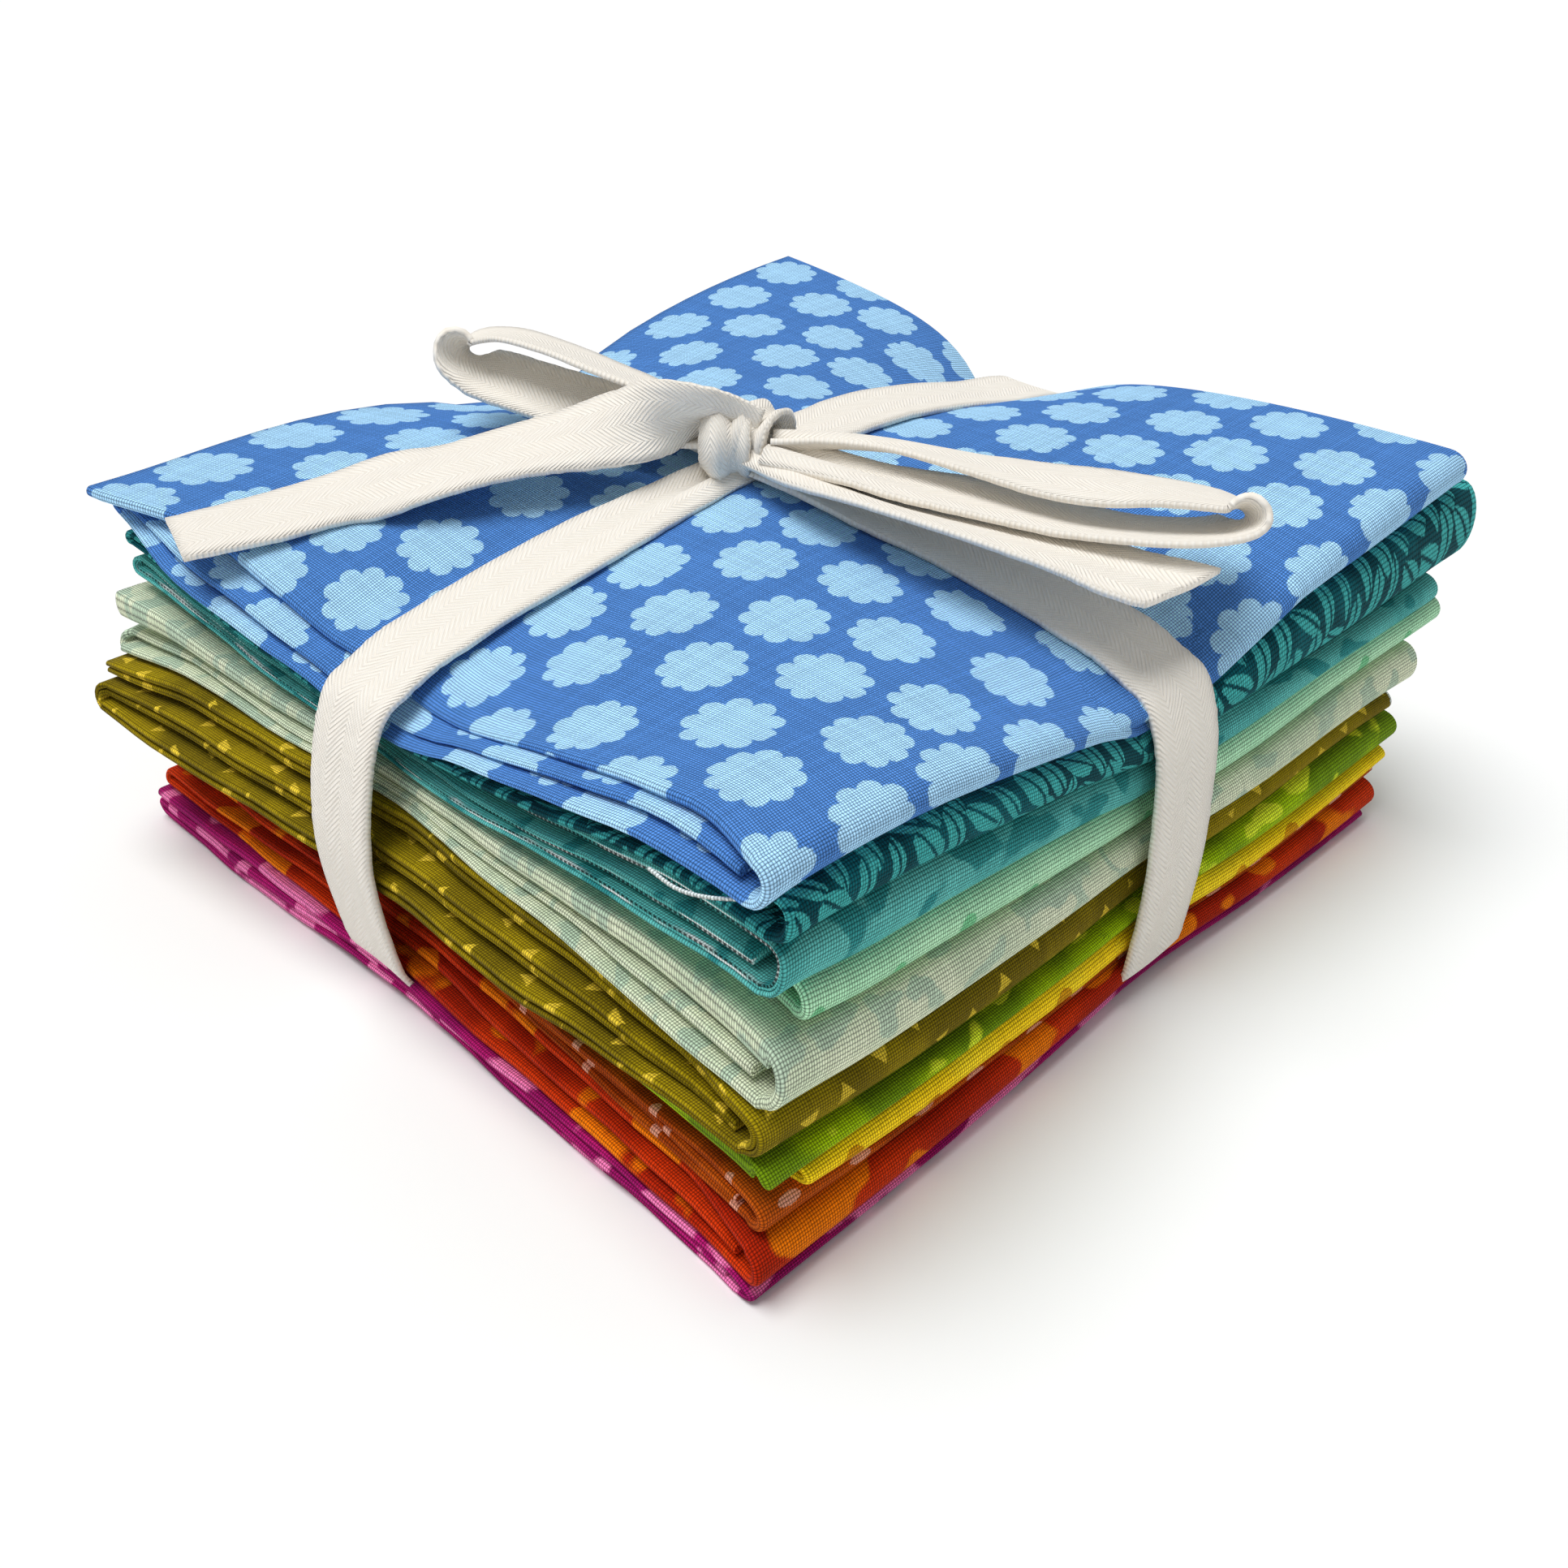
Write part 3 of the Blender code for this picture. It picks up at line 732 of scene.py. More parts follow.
@dataclass(frozen=True)
class TapeFinish:
    """Undyed herringbone cotton tape."""

    name: str = "cotton_tape"
    colour: Colour = linear(255, 251, 243)
    # Darker colour, painted as shade in the hollows between the ribs and also laid in random patches.
    shade: Colour = linear(244, 235, 220)
    rib_pitch: float = 0.78
    column: float = 3.25
    depth: float = 0.00022

    def material(self) -> bpy.types.Material:
        """Build the material.

        Returns:
            The finished material.
        """
        graph = Graph(self.name, 0.9, 0.25)
        across, along = graph.cloth_place()
        fold = graph.math("PINGPONG", across, self.column)
        rib = graph.math("DIVIDE", graph.math("ADD", along, graph.math("MULTIPLY", fold, 1.1)), self.rib_pitch)
        wave = graph.math("MULTIPLY_ADD", graph.math("SINE", graph.math("MULTIPLY", rib, TURN)), 0.5, 0.5)
        pick = graph.math("SINE", graph.math("MULTIPLY", across, TURN / 0.42))
        step = graph.math("SINE", graph.math("MULTIPLY", along, TURN / 0.42))
        grain = graph.math("MULTIPLY_ADD", graph.math("MULTIPLY", pick, step), 0.5, 0.5)
        height = graph.math("MULTIPLY_ADD", grain, 0.45, wave)
        place = graph.joined(across, along)
        graph.bumped(graph.noise(place, 0.25, 3.0), 0.0006, 0.5)
        graph.bumped(height, self.depth, 0.6)
        # Painted shade in the hollows between the ribs and painted highlight on their crests, mixed with random
        # patches.
        painted_rib_shade_and_patches = graph.math("MULTIPLY_ADD", height, 0.45, graph.math("MULTIPLY", graph.noise(place, 0.5, 3.0), 0.5))
        graph.feed(graph.shader.inputs["Base Color"], graph.mix(painted_rib_shade_and_patches, self.shade, self.colour))
        return graph.material


@dataclass(frozen=True)
class Sweep:
    """One run of the folded section: middle line, heading out, place on the cloth and side setback."""

    y: Array
    level: Array
    out_y: Array
    out_level: Array
    length: Array
    travel: Array


@dataclass
class Packet:
    """One fat quarter, folded to four plies across and rolled into three layers. Millimetres."""

    name: str
    height: float
    left_front: float
    left_back: float
    right_front: float
    right_back: float
    front: float
    back: float
    printed: Print
    fold: FoldKind = FoldKind.NESTED
    wrap_depth: float = 2.6
    inner_setback: float = 5.0
    setbacks: tuple[Row, Row, Row] = (LEVEL_EDGE, LEVEL_EDGE, LEVEL_EDGE)
    threads: tuple["Ribbon", ...] = ()
    gap: float = 0.36
    ply_most: float = 0.36
    gape: Row = (0.0, 0.0, 0.0)
    puff: float = 0.0
    rank: int = 0
    rows_top: int = 56
    rows_low: int = 34
    wrap_steps: int = 12
    turn_steps: int = 6
    wave: float = 0.25
    corner_flare: float = 1.3
    seed: int = 1

    @property
    def ply(self) -> float:
        """Pitch of the plies."""
        return min(self.ply_most, (self.height - self.gap - 0.1) / 12.0)

    def section(self) -> Sweep:
        """Middle line of the folded layers: top, front roll, bottom, back fold, inner.

        Returns:
            The line with its outward heading.
        """
        thick = 4.0 * self.ply
        high = self.height - self.gap
        top_level = high - thick / 2.0
        low_level = thick / 2.0
        half = (top_level - low_level) / 2.0
        middle = (top_level + low_level) / 2.0
        small = half / 2.0
        edge = self.front + self.wrap_depth + 2.0 * self.ply
        turn = self.back - small - 2.0 * self.ply
        spread = np.linspace(0.0, 1.0, self.rows_top)
        ys = [self.back - 1.2 + (edge - self.back + 1.2) * spread]
        levels = [np.full(self.rows_top, top_level)]
        angles = np.linspace(0.0, math.pi, self.wrap_steps + 2)[1:-1]
        ys.append(edge - self.wrap_depth * np.sin(angles) ** 0.9)
        levels.append(middle + half * np.cos(angles))
        spread = np.linspace(0.0, 1.0, self.rows_low)
        ys.append(edge + (turn - edge) * spread)
        levels.append(np.full(self.rows_low, low_level))
        angles = np.linspace(0.0, math.pi, self.turn_steps + 2)[1:-1]
        ys.append(turn + small * np.sin(angles))
        levels.append((low_level + middle) / 2.0 - small * np.cos(angles))
        ys.append(turn + (self.front + self.inner_setback - turn) * spread)
        levels.append(np.full(self.rows_low, middle))
        y = np.concatenate(ys)
        level = np.concatenate(levels)
        along_y = np.gradient(y)
        along_level = np.gradient(level)
        size = np.hypot(along_y, along_level)
        out_y = along_level / size
        out_level = -along_y / size
        outer_y = y + out_y * 1.5 * self.ply
        outer_level = level + out_level * 1.5 * self.ply
        steps = np.hypot(np.diff(outer_y), np.diff(outer_level))
        length = np.concatenate([[0.0], np.cumsum(steps)])
        marks = np.concatenate([np.full(len(part), index) for index, part in enumerate(ys)])
        return Sweep(y, level, out_y, out_level, length, marks)

    def runs(self) -> list[tuple[float, float, float]]:
        """Plies of a layer in cloth order, as offset, first end and last end.

        Returns:
            Offset in ply pitches, and 0 for the left end or 1 for the right end.
        """
        if self.fold is FoldKind.ZIGZAG:
            return [(1.5, 1.0, 0.0), (0.5, 0.0, 1.0), (-0.5, 1.0, 0.0), (-1.5, 0.0, 1.0)]
        nested = [(-1.5, 1.0, 0.0), (1.5, 0.0, 1.0), (0.5, 1.0, 0.0), (-0.5, 0.0, 1.0)]
        if self.fold is FoldKind.OPEN:
            return [(offset, 1.0 - first, 1.0 - last) for offset, first, last in nested]
        return nested

    def profile(self) -> tuple[Array, Array, Array, Array]:
        """Cross-section of a layer from side to side.

        Returns:
            Share from the left end to the right, millimetres past the end, offset from
            the layer's middle, and length along the cloth.
        """
        width = self.right_front - self.left_front
        shares, past, offsets = [], [], []
        runs = self.runs()
        counts = {1.5: 30, -1.5: 20, 0.5: 14, -0.5: 14}
        for index, (offset, first, last) in enumerate(runs):
            count = counts[offset]
            spread = np.linspace(0.0, 1.0, count)
            spread = spread - 0.13 * np.sin(TURN * spread)
            shares.append(first + (last - first) * spread)
            past.append(np.zeros(count))
            offsets.append(np.full(count, offset * self.ply))
            if index == len(runs) - 1:
                continue
            following = runs[index + 1][0]
            centre = (offset + following) / 2.0 * self.ply
            radius = (offset - following) / 2.0 * self.ply
            steps = 9 if abs(radius) > self.ply else 5
            angles = np.linspace(0.0, math.pi, steps + 2)[1:-1]
            sign = -1.0 if last < 0.5 else 1.0
            shares.append(np.full(steps, last))
            past.append(sign * abs(radius) * np.sin(angles) * 1.1)
            offsets.append(centre + radius * np.cos(angles))
        share = np.concatenate(shares)
        beyond = np.concatenate(past)
        offset = np.concatenate(offsets)
        steps = np.hypot(np.diff(share * width + beyond), np.diff(offset))
        return share, beyond, offset, np.concatenate([[0.0], np.cumsum(steps)])

    def side_setback(self, sweep: Sweep) -> Array:
        """How far each row's left edge lies behind the packet's reach."""
        fraction = np.clip((sweep.y - self.front) / (self.back - self.front), 0.0, 1.0)
        marks = sweep.travel
        place = np.where(marks < 0.5, 1.0 - fraction, 0.0)
        on_roll = (marks > 0.5) & (marks < 1.5)
        down_roll = (sweep.level[0] - sweep.level) / self.height
        place = np.where(on_roll, 1.0 + 0.15 * down_roll, place)
        place = np.where((marks > 1.5) & (marks < 2.5), 1.15 + fraction, place)
        place = np.where((marks > 2.5) & (marks < 3.5), 2.15 + 0.15 * sweep.level / self.height, place)
        place = np.where(marks > 3.5, 2.3 + 1.0 - fraction, place)
        top, low, inner = self.setbacks
        stations = np.array(STATIONS)
        knots = np.concatenate([1.0 - stations[::-1], 1.15 + stations, 3.3 - stations[::-1]])
        values = np.array((*top[::-1], *low, *inner[::-1]))
        wander = np.random.default_rng(self.seed).uniform(0.0, TURN, 6)
        drift = np.sin(place * 9.0 + wander[0]) + 0.6 * np.sin(place * 23.0 + wander[1])
        drift = drift + 0.35 * np.sin(place * 51.0 + wander[2])
        flare = self.corner_flare * np.exp(-np.maximum(0.0, sweep.y - self.front) / 7.0)
        return smooth_table(place, knots, values) + self.wave * drift - flare

    def points(self, form: StackForm) -> tuple[Array, Array, Array]:
        """Place every point of the folded cloth.

        Args:
            form: Form of the stack.

        Returns:
            Points by row and column, length along each row and along each column.
        """
        sweep = self.section()
        share, beyond, offset, across = self.profile()
        reach = (sweep.y - self.front) / (self.back - self.front)
        inset = 1.5 * self.ply + 0.2
        left = self.left_front + (self.left_back - self.left_front) * reach + inset
        left = left + self.side_setback(sweep)
        right = self.right_front + (self.right_back - self.right_front) * reach - inset
        x = left[:, None] + (right - left)[:, None] * share[None, :] + beyond[None, :]
        y = sweep.y[:, None] + sweep.out_y[:, None] * offset[None, :]
        from_tip = np.exp(-np.maximum(0.0, (right - left)[:, None] * share[None, :]) / 4.0)
        below = (1.5 * self.ply - offset) / (3.0 * self.ply)
        hang = self.puff * below[None, :] * from_tip * (sweep.travel < 0.5)[:, None]
        level = sweep.level[:, None] + sweep.out_level[:, None] * offset[None, :] - hang
        depth = (level + self.gap / 2.0) / self.height
        rim = np.clip((-x - GAPE_START) / (70.0 - GAPE_START), 0.0, 1.0) ** 1.5
        opened = smooth_table(y, (-68.0, -35.0, 30.0, 68.0), (self.gape[0], self.gape[1], self.gape[1], self.gape[2]))
        kept = np.isin(sweep.travel, (0.0, 1.0))[:, None]
        depth = np.where(kept, depth, depth * (1.0 - opened * rim))
        flat_x, flat_y = form.drawn_in(x, y, (self.rank + depth) / len(PACKETS))
        z = form.level(x, y, self.rank + depth)
        return np.stack([flat_x, flat_y, z], axis=-1), sweep.length, across

    def build(self, form: StackForm) -> bpy.types.Object:
        """Build and dress the folded cloth.

        Args:
            form: Form of the stack.

        Returns:
            The finished piece.
        """
        places, along, across = self.points(form)
        cloth = ClothGrid("cloth_" + self.name, places, along, across)
        mesh = bmesh.new()
        cloth.add_to(mesh)
        for thread in self.threads:
            thread.grid().add_to(mesh)
        piece = finished(cloth.name, mesh, self.ply * 0.8)
        piece.data.materials.append(CottonFinish(self.name, self.printed, across[-1]).material())
        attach(piece, "root")
        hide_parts("fat_quarter_" + self.name)
        return piece


@dataclass
class ClothGrid:
    """A sheet of cloth laid on a grid of places, with its flat measure as its map."""

    name: str
    places: Array
    along: Array
    across: Array

    def add_to(self, mesh: bmesh.types.BMesh) -> None:
        """Add the sheet to a mesh.

        Args:
            mesh: Mesh to add it to.
        """
        rows, columns = self.places.shape[:2]
        uv = mesh.loops.layers.uv.get("cloth") or mesh.loops.layers.uv.new("cloth")
        made = bmesh.ops.create_grid(mesh, x_segments=columns - 1, y_segments=rows - 1, size=1.0)["verts"]
        spots = {}
        for vert in made:
            column = round((vert.co.x + 1.0) / 2.0 * (columns - 1))
            row = round((vert.co.y + 1.0) / 2.0 * (rows - 1))
            spots[vert] = (row, column)
            vert.co = Vector(self.places[row, column]) * MM
        for face in {face for vert in made for face in vert.link_faces}:
            face.smooth = True
            for loop in face.loops:
                row, column = spots[loop.vert]
                loop[uv].uv = (self.across[column] * MM, self.along[row] * MM)


def finished(name: str, mesh: bmesh.types.BMesh, thickness: float) -> bpy.types.Object:
    """Turn a mesh of cloth into a shaded piece with thickness.

    Args:
        name: Name of the piece.
        mesh: The middle of the cloth.
        thickness: Millimetres.

    Returns:
        The piece.
    """
    data = bpy.data.meshes.new(name)
    mesh.to_mesh(data)
    mesh.free()
    piece = bpy.data.objects.new(name, data)
    bpy.context.scene.collection.objects.link(piece)
    solid = piece.modifiers.new("Thickness", "SOLIDIFY")
    solid.thickness = thickness * MM
    solid.offset = 0.0
    solid.use_even_offset = False
    return piece


@dataclass
class Ribbon:
    """A run of tape through stops of x, y, z, the direction across it, and its width."""

    stops: tuple[Row, ...]
    steps: int = 7
    cup: float = 0.35
    edge_wave: float = 0.12
    columns: int = 9
    flat_width: float = 13.0
    map_start: float = 0.0
    slant: float = 0.0
    seed: int = 3

    def grid(self) -> ClothGrid:
        """Lay the tape along its run.

        Returns:
            The sheet.
        """
        line = spline(np.array(self.stops, float), self.steps)
        centre = line[:, :3]
        lean = line[:, 3:6] / np.linalg.norm(line[:, 3:6], axis=1)[:, None]
        ahead = np.gradient(centre, axis=0)
        ahead = ahead / np.linalg.norm(ahead, axis=1)[:, None]
        lean = lean - ahead * np.sum(lean * ahead, axis=1)[:, None]
        lean = lean / np.linalg.norm(lean, axis=1)[:, None]
        face = np.cross(lean, ahead)
        width = line[:, 6]
        step = np.linalg.norm(np.diff(centre, axis=0), axis=1)
        along = np.concatenate([[0.0], np.cumsum(step)])
        spread = np.linspace(-1.0, 1.0, self.columns)
        bump = np.random.default_rng(self.seed).uniform(-1.0, 1.0, (len(along), 2))
        half = width[:, None] / 2.0 * np.abs(spread)[None, :]
        side = np.where(spread > 0.0, 1.0, -1.0)
        edge = np.abs(spread) > 0.99
        picked = np.where(spread > 0.0, 0, 1)
        half = half + self.edge_wave * bump[:, picked] * edge[None, :]
        squeeze = np.clip(1.0 - width / self.flat_width, 0.0, 1.0)
        pleat = squeeze[:, None] * 2.0 * np.sin(spread * 1.5 * math.pi)[None, :]
        rise = pleat - self.cup * (spread ** 2)[None, :]
        places = centre[:, None, :] + lean[:, None, :] * (half * side[None, :])[:, :, None]
        places = places + face[:, None, :] * rise[:, :, None]
        near_end = np.clip(1.0 - (along[-1] - along) / 14.0, 0.0, 1.0)
        places = places + ahead[:, None, :] * (self.slant * near_end[:, None] * spread[None, :])[:, :, None]
        return ClothGrid("ribbon", places, along, self.map_start + (spread + 1.0) / 2.0 * self.flat_width)


LEG_LEFT = (
    (59.0, 47.0), (63.4, 46.0), (67.0, 45.6), (69.3, 42.2), (70.7, 37.6), (72.0, 31.0), (72.6, 23.0), (71.2, 11.0),
    (69.7, 5.0), (66.6, 3.3),
)
LEG_RIGHT = (
    (68.6, 52.6), (73.4, 50.4), (75.4, 44.5), (75.0, 34.0),
    (72.4, 22.0), (70.4, 11.0), (69.6, 5.0), (66.2, 3.0),
)
LEG_FRONT = (
    (59.0, 47.0), (63.4, 46.5), (67.2, 47.0), (69.6, 43.4), (70.6, 38.4), (71.0, 31.0), (71.2, 22.0), (70.2, 10.0),
    (69.2, 4.8), (65.8, 3.1),
)
LEG_BACK = (
    (64.2, 53.6), (68.6, 51.8), (70.0, 45.0), (70.0, 33.0),
    (70.0, 22.0), (69.6, 10.0), (69.0, 4.2), (65.4, 2.5),
)
LOOP_LEFT = (
    (-2.8, -1.0, 65.0, 0.78, 0.62, 0.05, 6.0),
    (-5.2, 9.2, 64.6, 0.80, 0.58, 0.17, 9.5),
    (-7.6, 20.7, 64.6, 0.80, 0.56, 0.23, 12.0),
    (-11.0, 31.2, 65.2, 0.81, 0.54, 0.22, 12.8),
    (-13.4, 38.9, 66.0, 0.83, 0.51, 0.22, 12.8),
    (-15.4, 44.8, 66.9, 0.85, 0.48, 0.20, 12.8),
    (-16.6, 48.4, 68.2, 0.84, 0.50, 0.08, 12.8),
    (-15.8, 50.0, 69.8, 0.80, 0.58, -0.06, 12.8),
    (-13.6, 48.6, 70.8, 0.76, 0.62, -0.16, 12.8),
    (-11.0, 43.8, 71.2, 0.73, 0.64, -0.22, 12.8),
    (-9.2, 34.7, 70.8, 0.76, 0.60, -0.25, 12.8),
    (-7.8, 24.7, 69.8, 0.77, 0.58, -0.26, 12.5),
    (-6.0, 15.2, 68.6, 0.74, 0.60, -0.29, 11.0),
    (-3.6, 7.3, 67.4, 0.74, 0.60, -0.29, 9.0),
    (-1.7, 0.9, 66.2, 0.79, 0.57, -0.20, 6.5),
)
LOOP_RIGHT = (
    (-3.9, -4.5, 64.8, 0.78, 0.62, -0.02, 6.0),
    (-1.2, -17.6, 64.8, 0.72, 0.63, -0.15, 9.5),
    (1.0, -25.4, 64.6, 0.75, 0.63, -0.10, 12.0),
    (3.8, -32.4, 64.4, 0.76, 0.63, -0.06, 12.8),
    (6.2, -39.6, 64.2, 0.77, 0.63, -0.06, 12.8),
    (8.4, -46.8, 64.0, 0.75, 0.64, -0.09, 12.8),
    (11.0, -53.4, 64.0, 0.70, 0.65, -0.16, 12.8),
    (14.3, -59.0, 64.2, 0.67, 0.67, -0.18, 12.8),
    (17.8, -63.0, 64.6, 0.66, 0.67, -0.20, 12.8),
    (20.6, -65.0, 65.4, 0.66, 0.66, -0.20, 12.8),
    (21.8, -64.9, 66.5, 0.67, 0.65, -0.20, 12.8),
    (21.8, -63.0, 67.4, 0.68, 0.64, -0.20, 12.8),
    (20.2, -59.6, 67.9, 0.70, 0.63, -0.18, 12.8),
    (17.0, -54.0, 68.1, 0.71, 0.66, -0.14, 12.8),
    (13.6, -48.3, 67.9, 0.73, 0.67, -0.07, 12.8),
    (11.6, -41.1, 67.5, 0.74, 0.64, -0.10, 12.8),
    (10.2, -32.9, 67.2, 0.71, 0.63, -0.17, 12.5),
    (8.6, -24.8, 66.9, 0.67, 0.63, -0.23, 11.5),
    (6.4, -17.0, 66.6, 0.65, 0.63, -0.25, 10.0),
    (2.4, -9.2, 66.2, 0.65, 0.66, -0.22, 8.0),
    (-2.2, -3.3, 65.8, 0.66, 0.73, -0.09, 6.0),
)
TAIL_LEFT = (
    (-2.4, -0.6, 66.8, -0.37, -0.53, 0.76, 6.0),
    (-4.7, 2.7, 68.2, -0.40, -0.50, 0.77, 7.5),
    (-8.4, 5.2, 69.0, -0.35, -0.35, 0.87, 9.5),
    (-12.2, 8.0, 68.8, -0.10, 0.05, 0.99, 10.5),
    (-15.6, 11.8, 67.6, 0.34, 0.60, 0.70, 11.5),
    (-19.3, 17.1, 65.8, 0.48, 0.76, 0.42, 12.4),
    (-24.2, 22.2, 64.2, 0.46, 0.86, 0.22, 12.8),
    (-30.2, 26.9, 62.6, 0.34, 0.93, 0.12, 12.8),
    (-37.4, 31.6, 60.8, 0.22, 0.97, 0.08, 12.8),
    (-45.2, 39.9, 57.6, 0.05, 0.99, 0.10, 12.8),
    (-56.3, 43.7, 56.4, 0.10, 0.98, 0.10, 12.8),
    (-68.7, 47.6, 55.9, 0.50, 0.86, 0.08, 12.4),
)
TAIL_RIGHT = (
    (-3.5, 0.0, 63.9, 0.93, 0.31, 0.11, 6.0),
    (-4.2, -12.0, 63.6, 0.90, 0.40, -0.10, 9.0),
    (-4.0, -24.5, 63.6, 0.82, 0.48, -0.28, 11.2),
    (-2.0, -34.8, 63.5, 0.84, 0.46, -0.24, 12.6),
    (0.2, -43.8, 63.3, 0.90, 0.36, -0.16, 12.8),
    (2.4, -52.4, 63.0, 0.95, 0.26, -0.06, 12.8),
    (4.0, -60.0, 62.3, 0.97, 0.10, 0.0, 12.8),
    (6.6, -66.0, 61.6, 0.97, -0.12, 0.0, 12.4),
)


KNOT_WRAPS = (
    (-1.8, 1.6, -0.7, 0.78, 5.4, 4.6, 7.0),
    (1.6, -1.6, 0.3, 0.30, 5.0, 3.6, 6.6),
    (0.2, 0.0, -0.9, 0.60, 4.6, 3.4, 8.0),
)


@dataclass
class Tie:
    """Cotton tape taken once round the stack each way and tied in a bow. Millimetres."""

    form: StackForm
    width: float = 13.0
    thickness: float = 0.85
    clearance: float = 0.75
    knot: Row = (-3.0, 2.0, 65.0)
    length: float = 1.4
    ribbons: list[Ribbon] = field(default_factory=list)

    def band(self, near: tuple[Row, ...], far: tuple[Row, ...], along_x: bool) -> Ribbon:
        """Ring of tape round the stack one way.

        Args:
            near: Reach and height down the side towards the viewer.
            far: The same down the opposite side.
            along_x: True for the ring from left to right.

        Returns:
            The ring as a ribbon.
        """
        knot_run, knot_across = (self.knot[0], self.knot[1]) if along_x else (self.knot[1], self.knot[0])
        lift = self.clearance + (0.0 if along_x else 0.2)
        stops = []

        def stop(run: float, across: float, height: float, width: float) -> None:
            """Add one stop, kept above the cloth."""
            if height > self.knot[2] / 2.0 and abs(run) < 69.0:
                x, y = (run, across) if along_x else (across, run)
                height = max(height, float(self.form.top(np.array(x), np.array(y))) + lift)
            place = (run, across, height, 0.0, 1.0, 0.0, width)
            other = (across, run, height, 1.0, 0.0, 0.0, width)
            stops.append(place if along_x else other)

        def over(run: float) -> None:
            """Add one stop on the top of the stack."""
            away = abs(run - knot_run)
            across = knot_across + (6.5 - knot_across) * min(1.0, away / 36.0)
            width = 6.5 + 6.5 * min(1.0, away / 28.0)
            x, y = (run, across) if along_x else (across, run)
            height = float(self.form.top(np.array(x), np.array(y)))
            stop(run, across, height + lift, width)

        for run in (-1.0, 8.0, 18.0, 31.0, 46.0, 58.0):
            over(run)
        for reach, height in far:
            stop(reach, 6.5, height, self.width)
        foot = 0.9 if along_x else 1.1
        for run in (54.0, 30.0, 8.0, -14.0, -34.0, -54.0):
            stop(run, 6.5, foot, self.width)
        for reach, height in reversed(near):
            stop(-reach, 6.5, height, self.width)
        for run in (-56.0, -44.0, -31.0, -20.0, -11.0, -1.0):
            over(run)
        return Ribbon(tuple(stops), steps=5, cup=0.2)

    def knot_wraps(self) -> list[Ribbon]:
        """Passes of tape drawn tight round the knot.

        Returns:
            The ribbons.
        """
        wraps = []
        for shift_x, shift_y, shift_z, turn, wide, high, width in KNOT_WRAPS:
            stops = []
            for step in range(13):
                angle = TURN * step / 12.0
                side = math.cos(angle) * wide
                x = self.knot[0] + shift_x + side * math.cos(turn)
                y = self.knot[1] + shift_y + side * math.sin(turn)
                z = self.knot[2] + shift_z + math.sin(angle) * high
                stops.append((x, y, z, -math.sin(turn), math.cos(turn), 0.0, width))
            wraps.append(Ribbon(tuple(stops), steps=4, cup=0.8))
        return wraps

    def build(self) -> bpy.types.Object:
        """Build and dress the tape.

        Returns:
            The finished piece.
        """
        self.ribbons = [
            self.band(LEG_LEFT, LEG_RIGHT, True),
            self.band(LEG_FRONT, LEG_BACK, False),
            Ribbon(LOOP_LEFT),
            Ribbon(LOOP_RIGHT),
            Ribbon(TAIL_LEFT),
            Ribbon(TAIL_RIGHT, slant=3.5),
            *self.knot_wraps(),
        ]
        mesh = bmesh.new()
        for ribbon in self.ribbons:
            ribbon.grid().add_to(mesh)
        piece = finished("tape", mesh, self.thickness)
        piece.data.materials.append(TapeFinish().material())
        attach(piece, "root")
        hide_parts("tie_tape")
        return piece


@dataclass
class Bundle:
    """The whole stack of packets with its tie."""

    form: StackForm = field(default_factory=StackForm)
    packets: tuple[Packet, ...] = ()

    def build(self) -> None:
        """Build the packets from the bottom up, then the tie."""
        for index, packet in enumerate(self.packets):
            packet.rank = index
            packet.seed = 11 + index
            piece = packet.build(self.form)
            LOG.info("%s: %d faces", piece.name, len(piece.data.polygons))
        piece = Tie(self.form).build()
        LOG.info("%s: %d faces", piece.name, len(piece.data.polygons))


BLUE = Print(
    PrintKind.BLOSSOM, linear(78, 130, 200), linear(166, 212, 246), linear(72, 120, 192), 15.2, 13.4, 11.8
)
DEEP_TEAL = Print(
    PrintKind.LEAF, linear(4, 70, 78), linear(64, 168, 166), linear(12, 90, 98), 5.4, 4.0, 7.6, 0.9
)
MID_TEAL = Print(
    PrintKind.BLOTCH, linear(84, 176, 172), linear(50, 142, 142), linear(98, 188, 182), 9.0, 7.0, 0.42
)
MINT = Print(PrintKind.DOT, linear(176, 230, 188), linear(122, 200, 146), linear(186, 236, 194), 13.0, 9.0, 3.0)
SAGE = Print(PrintKind.BLOTCH, linear(222, 230, 200), linear(186, 206, 182), linear(210, 222, 192), 6.0, 4.5, 0.45)
OLIVE = Print(PrintKind.FLECK, linear(148, 128, 10), linear(216, 186, 52), linear(116, 100, 8), 6.4, 5.4, 2.6, 0.2)
LIME = Print(PrintKind.BLOTCH, linear(156, 190, 6), linear(214, 232, 48), linear(112, 146, 14), 9.0, 7.0, 0.38)
YELLOW = Print(PrintKind.DOT, linear(255, 214, 22), linear(206, 146, 2), linear(255, 222, 34), 14.0, 9.0, 4.2)
ORANGE_BROWN = Print(
    PrintKind.DASH, linear(188, 84, 12), linear(226, 156, 130), linear(160, 64, 8), 11.0, 7.0, 3.6
)
RED_ORANGE = Print(
    PrintKind.BLOTCH, linear(202, 54, 8), linear(238, 122, 6), linear(170, 36, 6), 13.0, 10.0, 0.44
)
MAGENTA = Print(
    PrintKind.BLOTCH, linear(172, 26, 108), linear(236, 122, 178), linear(148, 20, 96), 12.0, 9.0, 0.42
)

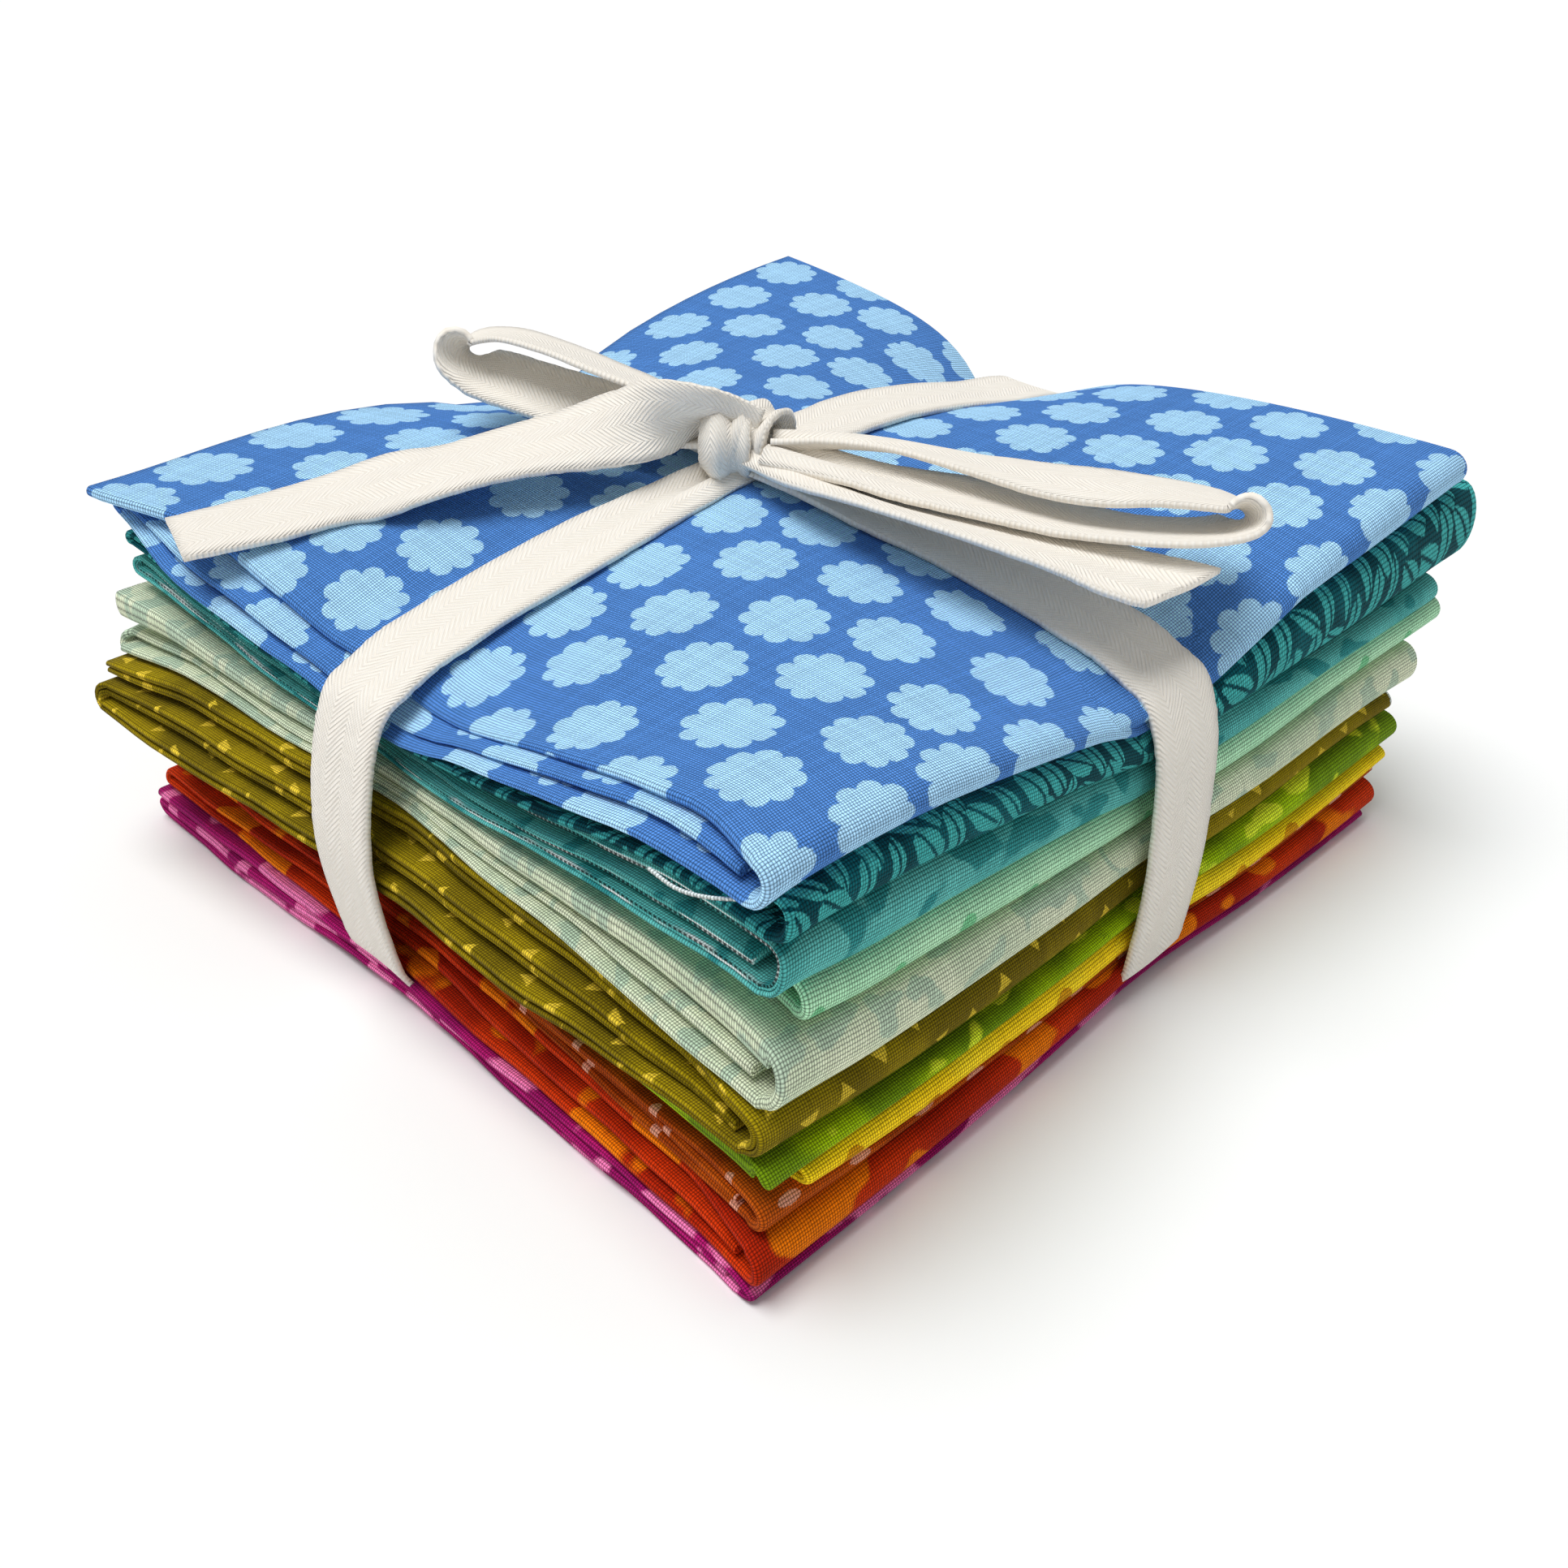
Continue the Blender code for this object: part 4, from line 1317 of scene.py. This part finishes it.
STRAY_THREAD = Ribbon(
    (
        (-70.6, -54.6, 53.6, 0.0, 0.3, 1.0, 0.35),
        (-70.4, -58.6, 53.1, 0.0, 0.3, 1.0, 0.35),
        (-69.6, -62.4, 53.6, 0.0, 0.3, 1.0, 0.35),
        (-67.8, -66.6, 54.6, 0.0, 0.3, 1.0, 0.35),
    ),
    steps=10, cup=0.0, edge_wave=0.0, columns=3, flat_width=0.1, map_start=-2.0,
)
PACKETS = (
    Packet("magenta", 4.4, -70.6, -72.0, 67.0, 69.0, -70.2, 69.5, MAGENTA),
    Packet("red_orange", 5.8, -70.4, -70.4, 67.5, 69.5, -71.2, 68.5, RED_ORANGE,
           setbacks=((0.4, 2.4, 2.6, 2.5, 1.5), LEVEL_EDGE, (0.4, 1.2, 1.4, 1.0, 0.6))),
    Packet("orange_brown", 4.4, -68.2, -65.5, 68.5, 70.0, -69.5, 68.0, ORANGE_BROWN),
    Packet("yellow", 4.4, -62.5, -62.5, 69.0, 70.0, -70.8, 67.5, YELLOW),
    Packet("lime", 4.4, -69.2, -64.5, 70.5, 68.5, -71.0, 68.0, LIME, gape=(0.55, 0.4, 0.2), puff=2.0,
           setbacks=(LEVEL_EDGE, (1.6, 1.6, 1.6, 1.6, 1.6), (2.6, 2.6, 2.6, 2.6, 2.6))),
    Packet("olive", 7.4, -69.8, -78.2, 69.0, 67.0, -70.0, 68.5, OLIVE, FoldKind.ZIGZAG, ply_most=0.5,
           gape=(0.3, 0.0, 0.0),
           setbacks=((0.6, 3.0, 3.8, 4.6, 2.5), (0.0, 0.0, 0.4, 0.3, 0.0), (0.6, 1.6, 2.0, 2.2, 1.2))),
    Packet("sage", 6.2, -68.0, -70.5, 72.0, 70.5, -71.2, 69.0, SAGE, gape=(0.2, 0.45, 0.45), puff=1.3,
           setbacks=((1.4, 2.0, 1.6, 1.0, -0.6), (0.0, 0.0, 0.0, 0.0, -1.8), (0.8, 1.2, 1.2, 1.0, 0.0))),
    Packet("mint", 4.8, -61.5, -61.5, 79.0, 76.0, -70.0, 68.5, MINT),
    Packet("mid_teal", 6.4, -67.8, -68.0, 74.0, 73.0, -70.8, 67.5, MID_TEAL, FoldKind.OPEN,
           setbacks=((2.2, 2.2, 1.8, 1.0, 1.0), LEVEL_EDGE, (1.0, 1.0, 0.8, 0.8, 0.8))),
    Packet("deep_teal", 5.8, -66.0, -68.0, 80.6, 77.0, -71.2, 67.5, DEEP_TEAL,
           setbacks=((1.0, 1.0, 1.0, 1.0, 1.0), LEVEL_EDGE, (1.5, 1.0, 0.6, 0.6, 0.6))),
    Packet("blue", 6.2, -68.8, -70.4, 74.5, 74.0, -70.6, 70.5, BLUE, gape=(0.1, 0.0, 0.5), puff=0.5,
           setbacks=((0.6, 4.2, 4.8, 6.2, -0.1), (0.0, 0.0, 0.0, 0.4, 3.2), (0.8, 2.0, 2.0, 2.2, 3.8)),
           threads=(STRAY_THREAD,)),
)


@dataclass(frozen=True)
class Studio:
    """Pale floor, soft lights and the camera."""

    camera_place: Row = (-0.1555, -0.1595, 0.1531)
    heading: float = math.radians(44.86)
    pitch: float = math.radians(33.60)
    lens: float = 37.63
    floor_size: float = 3.0
    overhead: float = 2.5
    surround: float = 0.36

    def build(self) -> None:
        """Make the floor, the lights and the camera."""
        self.floor()
        self.lights()
        self.camera()

    def floor(self) -> None:
        """Make the pale floor."""
        mesh = bmesh.new()
        bmesh.ops.create_grid(mesh, x_segments=1, y_segments=1, size=self.floor_size / 2.0)
        data = bpy.data.meshes.new("floor")
        mesh.to_mesh(data)
        mesh.free()
        graph = Graph("pale_floor", 0.9, 0.0)
        graph.shader.inputs["Base Color"].default_value = (0.92, 0.92, 0.92, 1.0)
        data.materials.append(graph.material)
        floor = bpy.data.objects.new("floor", data)
        bpy.context.scene.collection.objects.link(floor)

    def lights(self) -> None:
        """Make the wide overhead light and the surrounding light."""
        data = bpy.data.lights.new("overhead", "SUN")
        data.energy = self.overhead
        data.angle = math.radians(40.0)
        lamp = bpy.data.objects.new("overhead", data)
        lamp.rotation_euler = Vector((0.16, -0.16, -1.0)).to_track_quat("-Z", "Y").to_euler()
        bpy.context.scene.collection.objects.link(lamp)
        world = bpy.data.worlds.new("studio")
        world.use_nodes = True
        back = world.node_tree.nodes["Background"]
        back.inputs["Color"].default_value = (1.0, 1.0, 1.0, 1.0)
        back.inputs["Strength"].default_value = self.surround
        bpy.context.scene.world = world

    def camera(self) -> None:
        """Make the camera at the photograph's angle."""
        data = bpy.data.cameras.new("camera")
        data.lens = self.lens
        data.sensor_width = 36.0
        data.clip_start = 0.01
        camera = bpy.data.objects.new("camera", data)
        camera.location = self.camera_place
        camera.rotation_euler = (math.pi / 2.0 - self.pitch, 0.0, -self.heading)
        bpy.context.scene.collection.objects.link(camera)
        bpy.context.scene.camera = camera
        bpy.context.scene.view_settings.view_transform = "Standard"


def main() -> None:
    """Build the bundle and the studio, and note the sizes."""
    logging.basicConfig(level=logging.INFO)
    Bundle(packets=PACKETS).build()
    Studio().build()


if __name__ == "__main__":
    main()
